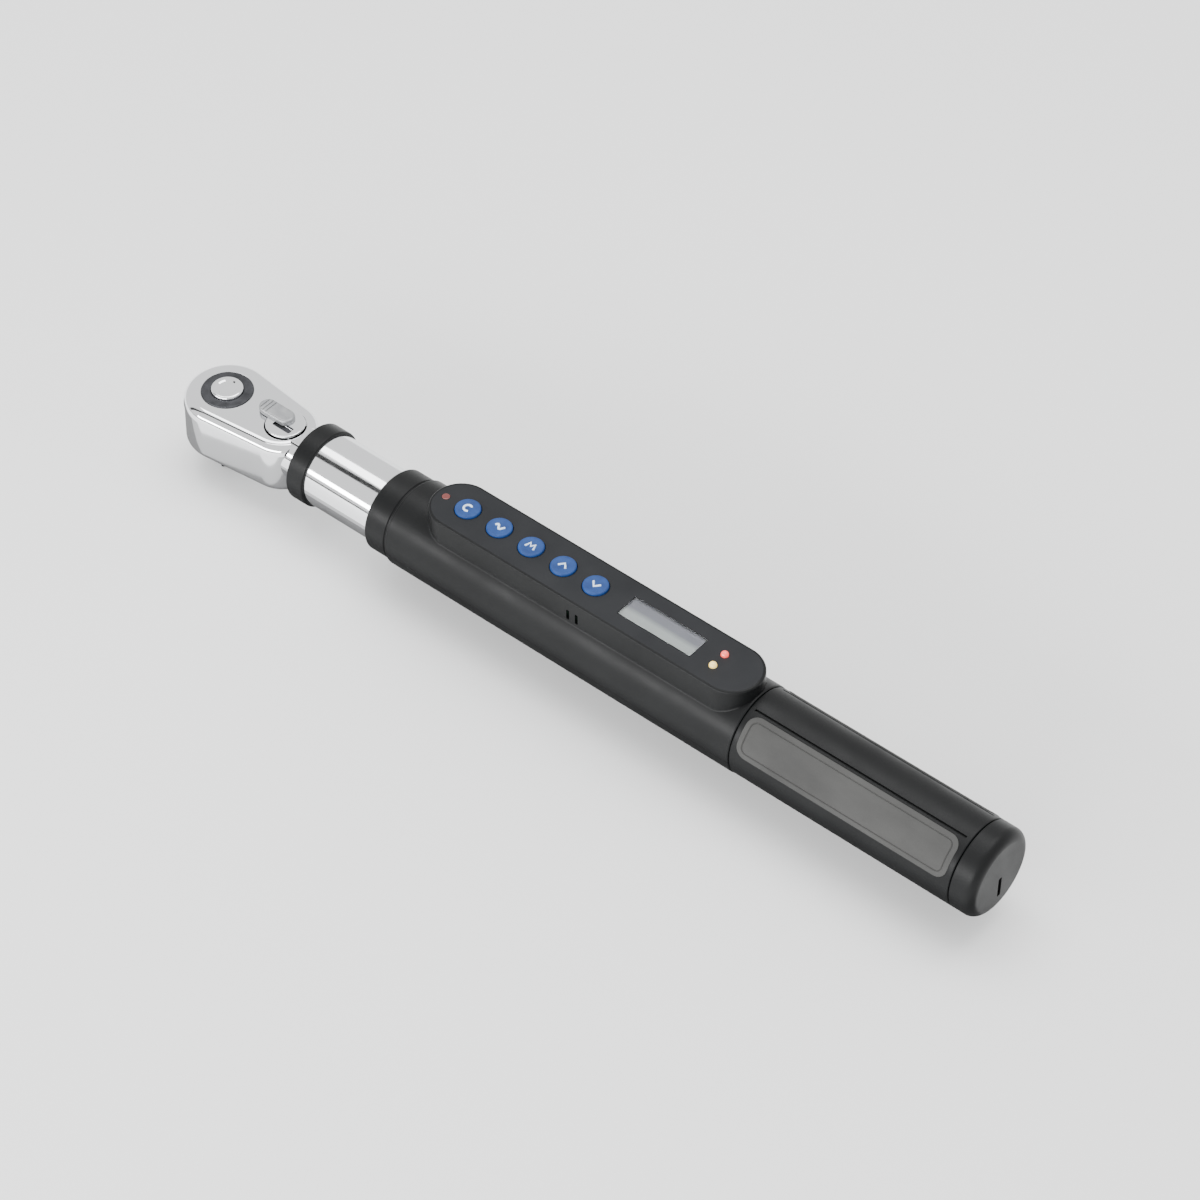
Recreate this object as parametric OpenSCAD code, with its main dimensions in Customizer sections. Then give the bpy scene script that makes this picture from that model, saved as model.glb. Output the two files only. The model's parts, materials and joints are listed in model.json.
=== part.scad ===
// Digital torque wrench with a reversing ratchet head.
// X runs from the drive to the grip's end, Z out of the button side.
// The origin is the centre of the square drive at its shoulder.

/* [Drive] */
// Side of the square drive
drive_side = 9.525; // [6.35:0.005:12.7]
// Length of the square drive below its shoulder
drive_len = 11; // [8:0.5:16]
// Turn of the square about its own axis, in degrees
drive_clock = 45; // [0:5:45]
// Radius of the round boss above the square
boss_r = 9.0; // [8:0.1:10]
// Radius of the hub that shows in the head's top
hub_r = 10.0; // [9:0.1:11]
// Height of the hub above the head's top
hub_proud = 0.4; // [0.2:0.1:1]
// Number of ratchet teeth
teeth = 36; // [36:12:72]
// Radius over the ratchet teeth
tooth_tip_r = 12.6; // [12:0.1:13]
// Depth of a ratchet tooth
tooth_depth = 0.9; // [0.5:0.1:1.2]
// Radius of the detent ball
ball_r = 1.6; // [1.2:0.1:1.8]
// How far the detent ball stands out of the drive
ball_proud = 0.65; // [0.3:0.05:0.8]

/* [Head] */
// Height of the head's top above the tool's axis
head_top = 9.7; // [9:0.1:14]
// Depth of the head's underside below the tool's axis
head_low = 13.5; // [13:0.1:16]
// Distance from the tool's axis down to the drive's shoulder
shoulder_drop = 15; // [14.5:0.1:18]
// Plan radius of the head's round end
head_r = 17; // [16.6:0.1:19]
// Plan radius of the head's neck end
head_tail_r = 14; // [13:0.1:15]
// Distance between the centres of those two ends
head_tail_x = 28; // [27:0.5:31]
// Rounding of the head's top edge
head_top_round = 3.6; // [2:0.1:4]
// Rounding of the head's lower edge
head_low_round = 3.0; // [2:0.1:3]
// Radius of the neck
neck_r = 10.8; // [10:0.1:12]
// Radius of the chamber around the gear
chamber_r = 13.0; // [12.9:0.1:13.4]
// Height of the chamber's roof above the tool's axis
chamber_top = 5.2; // [4:0.1:6]
// Thickness of the plate that closes the chamber
plate_t = 1.6; // [1.2:0.1:2]
// Ledge that the plate rests on
plate_ledge = 0.9; // [0.6:0.1:1]
// Plan radius of the plate's neck end
plate_tail_r = 10.5; // [10:0.1:10.8]

/* [Pawl and lever] */
// Distance of the pawl's pin from the drive's axis
pawl_pin_x = 20.5; // [20:0.1:21]
// Radius of the pawl's pin
pawl_pin_r = 1.5; // [1.2:0.1:1.8]
// Half width of the pawl
pawl_half_w = 7.3; // [6.5:0.1:7.6]
// Rocking angle of the pawl to each side
pawl_rock = 4; // [3:0.5:4]
// Distance of the lever's axis from the drive's axis
lever_x = 30; // [30:0.1:31]
// Radius of the lever's disc
lever_r = 7.6; // [7:0.1:8]
// Radius of the lever's shaft
lever_shaft_r = 3.0; // [2.6:0.1:3.2]
// Length of the thumb tab from the lever's axis
lever_reach = 14; // [12:0.1:15]
// Radius of the plunger that presses the pawl
plunger_r = 1.1; // [0.8:0.1:1.3]

/* [Quick release] */
// Radius of the release button
button_r = 6.2; // [5.5:0.1:6.6]
// Height of the button above the hub
button_proud = 1.3; // [1:0.1:2.5]
// Travel of the button
button_travel = 2.5; // [2:0.1:2.5]
// Radius of the button's stem
stem_r = 2.0; // [1.8:0.1:2.2]
// Radius of the stem's waist, where the ball sinks in
waist_r = 1.2; // [1:0.1:1.3]

/* [Tube] */
// Outer radius of the chromed tube
tube_r = 14.6; // [14:0.1:15.5]
// Wall of the chromed tube
tube_wall = 1.5; // [1.2:0.1:2.5]
// Front end of the tube
tube_x0 = 46.1; // [44:0.1:50]
// Rear end of the tube, inside the housing
tube_x1 = 114; // [110:0.5:114]
// Outer radius of the black collar
collar_r = 15.75; // [15.3:0.05:17.5]
// Front face of the collar
collar_x0 = 44; // [43:0.1:45]
// Length of the collar
collar_len = 8; // [6:0.5:10]
// Radius of the sensor beam's front spigot
spigot_r = 7.0; // [6:0.1:8]
// Half thickness of the sensor beam where it bends
beam_half_y = 5; // [4:0.1:6]
// Half height of the sensor beam
beam_half_z = 8; // [7:0.1:9]

/* [Housing] */
// Outer radius of the housing
housing_r = 17.5; // [17.3:0.1:21]
// Wall of the housing
housing_wall = 2.2; // [1.8:0.1:2.4]
// Front face of the front ring
ring_x0 = 84; // [80:0.5:88]
// Front end of the housing's shells
housing_x0 = 95; // [92:0.5:97]
// Rear end of the housing's shells
housing_x1 = 256.5; // [256.2:0.1:260]
// Height of the joint between the two shells
split_z = -3; // [-5:0.5:0]
// Depth of the flat along the underside
flat_drop = 16.4; // [16:0.1:17]
// Height of the console's top above the tool's axis
console_top = 23.3; // [22.5:0.1:26]
// Half width of the console
console_half_w = 12; // [11.6:0.1:13]
// Centre of the console's front end
console_x0 = 118; // [117:0.5:119]
// Centre of the console's rear end
console_x1 = 244; // [242:0.5:244]
// Wall of the console
console_wall = 1.8; // [1.4:0.1:2]
// Thickness of the console's panel
panel_t = 1.2; // [1:0.1:1.6]

/* [Keys and display] */
// Centre of the first key
key_x0 = 121.4; // [120:0.1:122]
// Distance between keys
key_pitch = 15.1; // [13.5:0.1:15.3]
// Radius of a key
key_r = 4.9; // [3.5:0.1:5.1]
// Height of a key above the panel
key_proud = 0.9; // [0.7:0.1:1.5]
// Travel of a key
key_travel = 0.5; // [0.3:0.1:0.6]
// Length of the display's window
window_len = 33; // [25:0.5:35]
// Width of the display's window
window_w = 10.4; // [8:0.1:11.5]
// Centre of the display's window
window_x = 212.5; // [210:0.5:214]
// Distance of the two lights from the drive's axis
light_x = 238; // [236:0.5:240]
// Distance of each light from the middle
light_y = 3.3; // [2.5:0.1:4]
// Radius of each light
light_r = 1.5; // [1:0.1:1.8]

/* [Grip] */
// Radius of the grip
grip_r = 17.3; // [16.8:0.1:20]
// Bore of the grip
grip_bore_r = 13.6; // [13.4:0.1:14]
// Rear end of the grip
grip_x1 = 352; // [351:0.5:380]
// Depth of the soft insets
inset_depth = 1.4; // [1:0.1:1.8]
// How far the insets stand out of the grip
inset_proud = 0.2; // [0:0.1:0.5]
// Upper edge of an inset, in degrees off vertical
inset_from = 22; // [20:1:30]
// Upper edge of the far inset, in degrees off vertical
far_inset_from = 42; // [40:1:50]
// Lower edge of an inset, in degrees off vertical
inset_to = 78; // [60:1:95]
// Length of the end cap
cap_len = 9.5; // [8:0.5:20]

/* [Batteries] */
// Radius of a battery cell
cell_r = 5.2; // [5.1:0.05:5.25]
// Length of a battery cell
cell_len = 44.5; // [43.5:0.1:44.5]

/* [Fits] */
// Radial clearance of a running fit
run_gap = 0.05; // [0.03:0.01:0.08]
// Clearance between moving pieces that don't guide each other
free_gap = 0.3; // [0.2:0.05:0.4]
// Clearance between fixed pieces
seat_gap = 0.05; // [0:0.01:0.1]

/* [Hidden] */
$fn = 96;

tooth_root_r = tooth_tip_r - tooth_depth;
hub_top = head_top + hub_proud;
gear_top = chamber_top - 0.4;
plate_top = -head_low + plate_t;
gear_low = plate_top + 0.4;
drive_tip = -shoulder_drop - drive_len;
ball_z = -shoulder_drop - 5;
ball_x = drive_side / 2 + ball_proud - ball_r;
ball_angle = 90 + drive_clock;
button_floor = 3;
button_low = hub_top - 2.5;
button_top = hub_top + button_proud;
pawl_face_r = tooth_tip_r + 0.15;
pawl_back_x = pawl_pin_x + 2.3;
pawl_low = gear_low + 0.3;
pawl_high = gear_top - 0.1;
lever_floor = head_top - 1.5;
plunger_z = -3;
plunger_tip_x = pawl_back_x + 0.25;
plate_front_r = chamber_r + plate_ledge;
screw_x = lever_x + 1;
screw_y = 6.9;
tube_bore_r = tube_r - tube_wall;
housing_bore_r = housing_r - housing_wall;
cavity_half_w = console_half_w - console_wall;
panel_half_w = console_half_w - console_wall / 2;
panel_low = console_top - panel_t;
board_top = 15;
board_t = 1.6;
switch_top = board_top + 4;
flange_top = panel_low - free_gap;
boss_xs = [console_x0 + 11, console_x1 - 8];
boss_y = 11;
lens_x = console_x0 - 7.2;
slot_x = key_x0 + 4 * 15.1 - 1;
grip_x0 = housing_x1 + 0.2;
inset_x0 = grip_x0 + 2.2;
inset_x1 = grip_x1 - 2.4;
cells_x0 = housing_x1 - 6.5;
cells_x1 = cells_x0 + 2 * cell_len + 0.1;
plug_x0 = grip_x1 - 9;
tray_wall = 1.2;
tray_bore_r = cell_r + 0.3;

// Raises what follows from the tool's axis into the part's frame.
module from_axis() {
  translate([0, 0, shoulder_drop]) children();
}

// A round bar or bore along X between two places.
module bar_x(r, x0, x1) {
  translate([x0, 0, 0]) rotate([0, 90, 0]) cylinder(r = r, h = x1 - x0);
}

// A tube along X.
module tube_x(r, bore, x0, x1) {
  difference() {
    bar_x(r, x0, x1);
    bar_x(bore, x0 - 1, x1 + 1);
  }
}

// A round bar along Z between two heights.
module bar_z(r, z0, z1) {
  translate([0, 0, z0]) cylinder(r = r, h = z1 - z0);
}

// Egg-shaped plan: two arcs joined by their common tangents.
module egg_plan(r0, r1, d) {
  a = acos((r0 - r1) / d);
  polygon(concat(
    [for (i = [0:40]) let (t = a + (360 - 2 * a) * i / 40) [r0 * cos(t), r0 * sin(t)]],
    [for (i = [0:40]) let (t = -a + 2 * a * i / 40) [d + r1 * cos(t), r1 * sin(t)]]
  ));
}

// Stadium plan between two centres on the X axis.
module stadium(x0, x1, r) {
  translate([x0, 0]) circle(r = r);
  translate([x1, 0]) circle(r = r);
  translate([x0, -r]) square([x1 - x0, 2 * r]);
}

// Points of a quarter circle, for a rounded edge of a turned shape.
function arc_points(cx, cz, r, a0, a1, steps) =
  [for (i = [0:steps]) [cx + r * cos(a0 + (a1 - a0) * i / steps), cz + r * sin(a0 + (a1 - a0) * i / steps)]];

// Turned disc with a rounded top edge and a rounded lower edge.
module rounded_disc(r, z0, z1, low_round, top_round) {
  rotate_extrude($fn = 64) polygon(concat(
    [[0, z0]],
    arc_points(r - low_round, z0 + low_round, low_round, -90, 0, 5),
    arc_points(r - top_round, z1 - top_round, top_round, 0, 90, 5),
    [[0, z1]]
  ));
}

// Ratchet wheel outline; grow makes it larger all round, for cutting a mate.
function ratchet_points(grow, first, count) =
  let (pitch = 360 / teeth)
  [for (i = [first:first + count - 1], k = [-1, -0.35, 0.35, 1])
    let (
      tip = abs(k) < 0.5,
      r = tip ? tooth_tip_r + grow : tooth_root_r + grow,
      side = grow * 180 / (PI * tooth_tip_r) * sign(k),
      a = (i + 0.36 * k) * pitch + side
    )
    [r * cos(a), r * sin(a)]];

// A coil spring along Z, as one closed tube.
module coil(r, wire, z0, z1, turns) {
  around = 8;
  per_turn = 20;
  rings = turns * per_turn;
  rise = z1 - z0 - 2 * wire;
  points = [for (i = [0:rings], j = [0:around - 1])
    let (a = 360 * i / per_turn, b = 360 * j / around, q = r + wire * cos(b))
    [q * cos(a), q * sin(a), z0 + wire + rise * i / rings + wire * sin(b)]];
  sides = [for (i = [0:rings - 1], j = [0:around - 1])
    let (n = (j + 1) % around)
    [i * around + j, i * around + n, (i + 1) * around + n, (i + 1) * around + j]];
  start = [[for (j = [around - 1:-1:0]) j]];
  finish = [[for (j = [0:around - 1]) rings * around + j]];
  polyhedron(points = points, faces = concat(sides, start, finish), convexity = 6);
}

// ---- Ratchet head ----

module ratchet_head() {
  color("silver") from_axis() difference() {
    union() {
      hull() {
        rounded_disc(head_r, -head_low, head_top, head_low_round, head_top_round);
        translate([head_tail_x, 0, 0])
          rounded_disc(head_tail_r, -head_low, head_top, head_low_round, head_top_round);
      }
      bar_x(neck_r, head_tail_x, collar_x0 + 10);
    }
    translate([head_tail_x, -20, head_top]) cube([40, 40, 10]);
    bar_z(hub_r + run_gap, 0, head_top + 1);
    bar_z(chamber_r, -head_low, chamber_top);
    translate([8, -9.3, -head_low]) cube([pawl_back_x + 2.4 - 8, 18.6, head_low + chamber_top]);
    translate([lever_x, 0, 0]) bar_z(lever_shaft_r + 1.6, -head_low, chamber_top);
    translate([pawl_back_x, -lever_shaft_r - 1.6, -head_low])
      cube([lever_x - pawl_back_x, 2 * lever_shaft_r + 3.2, head_low + chamber_top]);
    translate([lever_x, 0, 0]) bar_z(lever_shaft_r + run_gap, 0, head_top + 1);
    translate([lever_x, 0, 0]) bar_z(lever_r + free_gap, lever_floor, head_top + 1);
    translate([pawl_pin_x, 0, 0]) bar_z(pawl_pin_r, 0, chamber_top + 2.5);
    translate([0, 0, -head_low - 1]) linear_extrude(plate_t + 1)
      egg_plan(plate_front_r + seat_gap, plate_tail_r + seat_gap, head_tail_x - 1);
    for (s = [-1, 1]) translate([screw_x, s * screw_y, 0]) bar_z(1.0, plate_top - 1, plate_top + 5);
    bar_x(spigot_r + seat_gap, lever_x + 8, 60);
  }
}

module drive_gear() {
  color("dimgray") from_axis() difference() {
    union() {
      bar_z(hub_r, 0, hub_top);
      translate([0, 0, gear_low]) linear_extrude(gear_top - gear_low) polygon(ratchet_points(0, 0, teeth));
      bar_z(boss_r, -shoulder_drop, gear_low + 1);
      intersection() {
        rotate(drive_clock) translate([-drive_side / 2, -drive_side / 2, drive_tip])
          cube([drive_side, drive_side, drive_len + 1]);
        union() {
          bar_z(drive_side * 0.66, drive_tip + 0.8, 0);
          translate([0, 0, drive_tip]) cylinder(r1 = drive_side * 0.66 - 0.8, r2 = drive_side * 0.66, h = 0.8);
        }
      }
    }
    bar_z(button_r + run_gap, button_floor, hub_top + 1);
    bar_z(stem_r + run_gap, drive_tip + 1.2, button_floor + 1);
    rotate(ball_angle) translate([0, 0, ball_z]) bar_x(ball_r + run_gap, 0, drive_side);
  }
}

module detent_ball() {
  color("gainsboro") from_axis() rotate(ball_angle) translate([ball_x, 0, ball_z]) sphere(r = ball_r);
}

module release_button() {
  waist_z = ball_z + button_travel;
  color("whitesmoke") from_axis() union() {
    rotate_extrude() polygon(concat(
      [[0, button_low], [button_r - 0.5, button_low], [button_r, button_low + 0.5]],
      arc_points(button_r - 0.9, button_top - 0.9, 0.9, 0, 90, 6),
      [[button_r - 2.2, button_top], [button_r - 2.6, button_top - 0.3], [0, button_top - 0.3]]
    ));
    bar_z(stem_r, waist_z + ball_r + 1.2, button_low + 0.5);
    translate([0, 0, waist_z + ball_r + 0.2]) cylinder(r1 = waist_r, r2 = stem_r, h = 1);
    bar_z(waist_r, waist_z, waist_z + ball_r + 0.2);
    translate([0, 0, ball_z]) cylinder(r1 = stem_r, r2 = waist_r, h = button_travel);
    bar_z(stem_r, ball_z - 1.4, ball_z);
  }
}

module release_spring() {
  color("silver") from_axis() coil(3.9, 0.35, button_floor + 0.05, button_low - 0.05, 3);
}

module pawl() {
  color("slategray") from_axis() difference() {
    translate([0, 0, pawl_low]) linear_extrude(pawl_high - pawl_low) difference() {
      polygon([
        [8.5, -pawl_half_w], [17.5, -pawl_half_w], [pawl_back_x, -3],
        [pawl_back_x, 3], [17.5, pawl_half_w], [8.5, pawl_half_w]
      ]);
      circle(r = pawl_face_r);
      for (turn = [-pawl_rock:pawl_rock / 4:pawl_rock])
        translate([pawl_pin_x, 0]) rotate(-turn) translate([-pawl_pin_x, 0])
          polygon(concat([[0, 0]], ratchet_points(0.1, -5, 11)));
      translate([pawl_pin_x, 0]) circle(r = pawl_pin_r + run_gap);
    }
  }
}

module pawl_pin() {
  color("silver") from_axis() translate([pawl_pin_x, 0, 0]) bar_z(pawl_pin_r, plate_top, chamber_top + 2.5);
}

module reverse_lever() {
  color("gray") from_axis() translate([lever_x, 0, 0]) difference() {
    union() {
      bar_z(lever_shaft_r, plate_top + 2, lever_floor + 1);
      bar_z(lever_r, lever_floor + free_gap, head_top + 1.2);
      translate([-lever_reach + 3.5, 2, head_top + free_gap]) linear_extrude(2.6) stadium(0, 9, 3.5);
    }
    translate([-3.5, -3.6, head_top - 0.2]) cube([8.5, 3.2, 3]);
    translate([0, 0, plunger_z]) bar_x(plunger_r + seat_gap, -lever_shaft_r - 1, 1.5);
    difference() {
      bar_z(lever_shaft_r + 1, chamber_top - 1.4, chamber_top - 0.5);
      bar_z(lever_shaft_r - 0.6, chamber_top - 2, chamber_top);
    }
  }
}

module lever_clip() {
  color("dimgray") from_axis() translate([lever_x, 0, chamber_top - 1.35]) difference() {
    cylinder(r = lever_shaft_r + 1.2, h = 0.8);
    translate([0, 0, -1]) cylinder(r = lever_shaft_r - 0.55, h = 3);
    translate([0, -1.2, -1]) cube([10, 2.4, 3]);
  }
}

module pawl_plunger() {
  color("gainsboro") from_axis() translate([0, 0, plunger_z]) union() {
    bar_x(plunger_r, plunger_tip_x + plunger_r, lever_x - 1);
    translate([plunger_tip_x + plunger_r, 0, 0]) sphere(r = plunger_r);
  }
}

module plunger_spring() {
  color("silver") from_axis() translate([lever_x - 0.95, 0, plunger_z]) rotate([0, 90, 0])
    coil(0.75, 0.18, 0, 2.4, 4);
}

module cover_plate() {
  color("silver") from_axis() difference() {
    translate([0, 0, -head_low]) linear_extrude(plate_t) difference() {
      egg_plan(plate_front_r, plate_tail_r, head_tail_x - 1);
      circle(r = boss_r + run_gap);
    }
    for (s = [-1, 1]) translate([screw_x, s * screw_y, 0]) {
      bar_z(1.25, -head_low - 1, 0);
      translate([0, 0, -head_low - 0.01]) cylinder(r1 = 2.1, r2 = 1.2, h = 0.91);
    }
  }
}

module plate_screws() {
  color("gray") from_axis() for (s = [-1, 1]) translate([screw_x, s * screw_y, 0]) difference() {
    union() {
      bar_z(0.95, -head_low + 0.9, plate_top + 4);
      translate([0, 0, -head_low]) cylinder(r1 = 2.0, r2 = 0.95, h = 1);
    }
    translate([0, 0, -head_low - 0.1]) cylinder(r = 1.0, h = 0.7, $fn = 6);
  }
}

// ---- Neck, tube and sensor ----

module neck_collar() {
  color("dimgray") from_axis() rotate([0, 90, 0]) rotate_extrude() difference() {
    polygon([
      [neck_r + seat_gap, collar_x0], [collar_r - 0.8, collar_x0], [collar_r, collar_x0 + 0.8],
      [collar_r, collar_x0 + collar_len - 0.8], [collar_r - 0.8, collar_x0 + collar_len],
      [neck_r + seat_gap, collar_x0 + collar_len]
    ]);
    translate([0, tube_x0]) square([tube_r + seat_gap, 40]);
  }
}

module main_tube() {
  color("silver") from_axis() difference() {
    tube_x(tube_r, tube_bore_r, tube_x0, tube_x1);
    translate([tube_x1 - 10, 0, 0]) rotate([90, 0, 0]) cylinder(r = 2, h = 60, center = true);
  }
}

module sensor_beam() {
  color("lightgray") from_axis() difference() {
    union() {
      bar_x(spigot_r, lever_x + 8.2, 60);
      translate([58, -beam_half_y, -beam_half_z]) cube([tube_x1 - 20 - 58 + 3, 2 * beam_half_y, 2 * beam_half_z]);
      bar_x(tube_bore_r - seat_gap, tube_x1 - 18, tube_x1 - 2);
    }
    translate([tube_x1 - 10, 0, 0]) rotate([90, 0, 0]) cylinder(r = 2, h = 60, center = true);
  }
}

module beam_pin() {
  color("gray") from_axis() translate([tube_x1 - 10, 0, 0]) rotate([90, 0, 0])
    cylinder(r = 2 - 0.02, h = 2 * tube_r - 0.6, center = true);
}

module strain_gauges() {
  color("goldenrod") from_axis() for (s = [-1, 1])
    translate([74, s * (beam_half_y + 0.15), 0]) cube([9, 0.3, 6], center = true);
}

// ---- Housing and console ----

module front_ring() {
  color("dimgray") from_axis() rotate([0, 90, 0]) rotate_extrude() polygon([
    [tube_r + seat_gap, ring_x0], [housing_r - 1.6, ring_x0], [housing_r - 0.8, ring_x0 + 0.8],
    [housing_r - 0.8, housing_x0], [housing_bore_r - seat_gap, housing_x0],
    [housing_bore_r - seat_gap, housing_x0 + 6], [tube_r + seat_gap, housing_x0 + 6]
  ]);
}

// The closed outer form of both shells.
module housing_form() {
  difference() {
    union() {
      bar_x(housing_r, housing_x0, housing_x1);
      linear_extrude(console_top) stadium(console_x0, console_x1, console_half_w);
    }
    translate([0, -40, -flat_drop - 20]) cube([400, 80, 20]);
  }
}

module housing_upper() {
  color("darkslategray") from_axis() difference() {
    union() {
      difference() {
        housing_form();
        bar_x(housing_bore_r, housing_x0 - 1, housing_x1 + 1);
        linear_extrude(console_top + 1) stadium(console_x0, console_x1, cavity_half_w);
        translate([0, 0, panel_low]) linear_extrude(panel_t + 1)
          stadium(console_x0, console_x1, panel_half_w + seat_gap);
        translate([0, -40, split_z - 40]) cube([400, 80, 40]);
        for (dx = [-2, 2]) translate([slot_x + dx, -console_half_w, 16.2]) cube([1.3, 8, 4.6], center = true);
      }
      for (x = boss_xs, s = [-1, 1]) intersection() {
        translate([x, s * boss_y, 0]) bar_z(2.6, split_z, 12.6);
        bar_x(housing_r - 0.5, housing_x0, housing_x1);
      }
    }
    for (x = boss_xs, s = [-1, 1]) translate([x, s * boss_y, 0]) bar_z(1.25, split_z - 1, 9);
  }
}

module housing_lower() {
  color("darkslategray") from_axis() difference() {
    intersection() {
      union() {
        difference() {
          housing_form();
          bar_x(housing_bore_r, housing_x0 - 1, housing_x1 + 1);
        }
        for (x = boss_xs, s = [-1, 1]) intersection() {
          translate([x, s * boss_y, 0]) bar_z(3.2, -20, split_z);
          bar_x(housing_r - 0.5, housing_x0, housing_x1);
        }
      }
      translate([0, -40, split_z - 40]) cube([400, 80, 40]);
    }
    for (x = boss_xs, s = [-1, 1]) translate([x, s * boss_y, 0]) {
      bar_z(1.3, -20, split_z + 1);
      bar_z(2.2, -20, split_z - 4);
    }
  }
}

module housing_screws() {
  color("gray") from_axis() for (x = boss_xs, s = [-1, 1]) translate([x, s * boss_y, 0]) difference() {
    union() {
      bar_z(1.2, split_z - 5, 8);
      bar_z(2.0, split_z - 6, split_z - 4);
    }
    bar_z(0.9, split_z - 7, split_z - 5, $fn = 6);
  }
}

module console_panel() {
  color("darkslategray") from_axis() translate([0, 0, panel_low]) linear_extrude(panel_t) difference() {
    stadium(console_x0, console_x1, panel_half_w);
    for (i = [0:4]) translate([key_x0 + i * key_pitch, 0]) circle(r = key_r + 0.2);
    translate([window_x - window_len / 2, -window_w / 2]) square([window_len, window_w]);
    for (s = [-1, 1]) translate([light_x, s * light_y]) circle(r = light_r + seat_gap);
    translate([lens_x, 0]) circle(r = light_r + seat_gap);
  }
}

module key(i) {
  top = console_top + key_proud;
  color("steelblue") from_axis() translate([key_x0 + i * key_pitch, 0, 0]) union() {
    rotate_extrude() polygon(concat(
      [[0, flange_top - 0.9], [key_r + 0.4, flange_top - 0.9], [key_r + 0.4, flange_top], [key_r, flange_top]],
      arc_points(key_r - 0.6, top - 0.6, 0.6, 0, 90, 5),
      [[0, top]]
    ));
    bar_z(1.5, switch_top + key_travel + 0.1, flange_top - 0.5);
  }
}

module key_1() { key(0); }
module key_2() { key(1); }
module key_3() { key(2); }
module key_4() { key(3); }
module key_5() { key(4); }

module key_switches() {
  color("black") from_axis() for (i = [0:4]) translate([key_x0 + i * key_pitch, 0, 0]) union() {
    translate([-3, -3, board_top]) cube([6, 6, 3]);
    bar_z(1.6, board_top + 2.5, switch_top);
  }
}

module display_window() {
  color("lightsteelblue") from_axis() translate([window_x, 0, console_top - 0.4])
    cube([window_len - 2 * seat_gap, window_w - 2 * seat_gap, 0.9], center = true);
}

module display_module() {
  color("darkseagreen") from_axis() translate([window_x - window_len / 2 - 1.5, -7.5, board_top])
    cube([window_len + 3, 15, panel_low - board_top - 0.3]);
}

module light(s) {
  from_axis() translate([light_x, s * light_y, 0]) union() {
    bar_z(light_r + 0.4, board_top, board_top + 1);
    bar_z(light_r, board_top, console_top);
    translate([0, 0, console_top]) intersection() {
      sphere(r = light_r);
      cylinder(r = light_r + 1, h = light_r);
    }
  }
}

module red_light() { color("red") light(1); }
module yellow_light() { color("gold") light(-1); }

module front_lens() {
  color("firebrick") from_axis() translate([lens_x, 0, 0]) union() {
    bar_z(light_r, panel_low, console_top + 0.1);
    bar_z(light_r + 1, panel_low - 1, panel_low);
  }
}

module circuit_board() {
  color("darkgreen") from_axis() translate([0, 0, board_top - board_t]) linear_extrude(board_t)
    intersection() {
      stadium(console_x0, console_x1, cavity_half_w - 0.1);
      translate([tube_x1 + 1, -console_half_w]) square([console_x1 + 2 - tube_x1 - 1, 2 * console_half_w]);
    }
}

module buzzer() {
  color("black") from_axis() translate([slot_x - 8, 0, 0]) difference() {
    bar_z(6, board_top - board_t - 5, board_top - board_t);
    bar_z(1, board_top - board_t - 6, board_top - board_t - 4);
  }
}

module inner_sleeve() {
  color("gray") from_axis() tube_x(housing_bore_r - seat_gap, grip_bore_r, housing_x1 - 9, housing_x1 + 12);
}

// ---- Grip, batteries and cap ----

// A sector of a tube along X, from one angle off vertical to another, on one side.
module sector_x(r, bore, x0, x1, a0, a1, s) {
  start = s > 0 ? 180 - a1 : 180 + a0;
  translate([x0, 0, 0]) rotate([0, 90, 0]) rotate(start) rotate_extrude(angle = a1 - a0)
    translate([bore, 0]) square([r - bore, x1 - x0]);
}

module grip_core() {
  color("dimgray") from_axis() difference() {
    bar_x(grip_r, grip_x0, grip_x1 - 0.2);
    bar_x(grip_bore_r, grip_x0 - 1, grip_x1 + 1);
    bar_x(housing_bore_r, grip_x0 - 1, housing_x1 + 12.1);
    translate([0, -40, -flat_drop - 20]) cube([500, 80, 20]);
    for (s = [-1, 1]) {
      sector_x(grip_r + 2, grip_r - inset_depth, inset_x0, inset_x1, inset_edge(s), inset_to, s);
      rotate([-s * (inset_edge(s) - 4.2), 0, 0]) translate([(grip_x0 + grip_x1) / 2, 0, grip_r - 0.1])
        cube([grip_x1 - grip_x0 - 4, 0.8, 1.4], center = true);
    }
  }
}

// The strip between the insets reaches further down the far side than the near side.
function inset_edge(s) = s > 0 ? far_inset_from : inset_from;

module grip_inset(s) {
  color("gray") from_axis() sector_x(
    grip_r + inset_proud, grip_r - inset_depth + seat_gap,
    inset_x0 + seat_gap, inset_x1 - seat_gap, inset_edge(s) + 0.3, inset_to - 0.3, s
  );
}

module grip_inset_near() { grip_inset(-1); }
module grip_inset_far() { grip_inset(1); }

module battery_tray() {
  color("black") from_axis() difference() {
    union() {
      bar_x(tray_bore_r + tray_wall, cells_x0 - 2.5, plug_x0 - 5);
      for (x = [housing_x1 - 2, (housing_x1 + plug_x0) / 2, plug_x0 - 8]) bar_x(grip_bore_r - 0.2, x, x + 2);
    }
    bar_x(tray_bore_r, cells_x0 - 1.2, plug_x0 + 1);
  }
}

module front_contact() {
  color("gold") from_axis() bar_x(4.5, cells_x0 - 1.1, cells_x0 - 0.1);
}

module battery_cells() {
  color("darkgoldenrod") from_axis() for (i = [0, 1]) translate([cells_x0 + i * (cell_len + 0.05), 0, 0]) union() {
    bar_x(2.8, 0, 2);
    bar_x(cell_r, 1, cell_len);
  }
}

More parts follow.
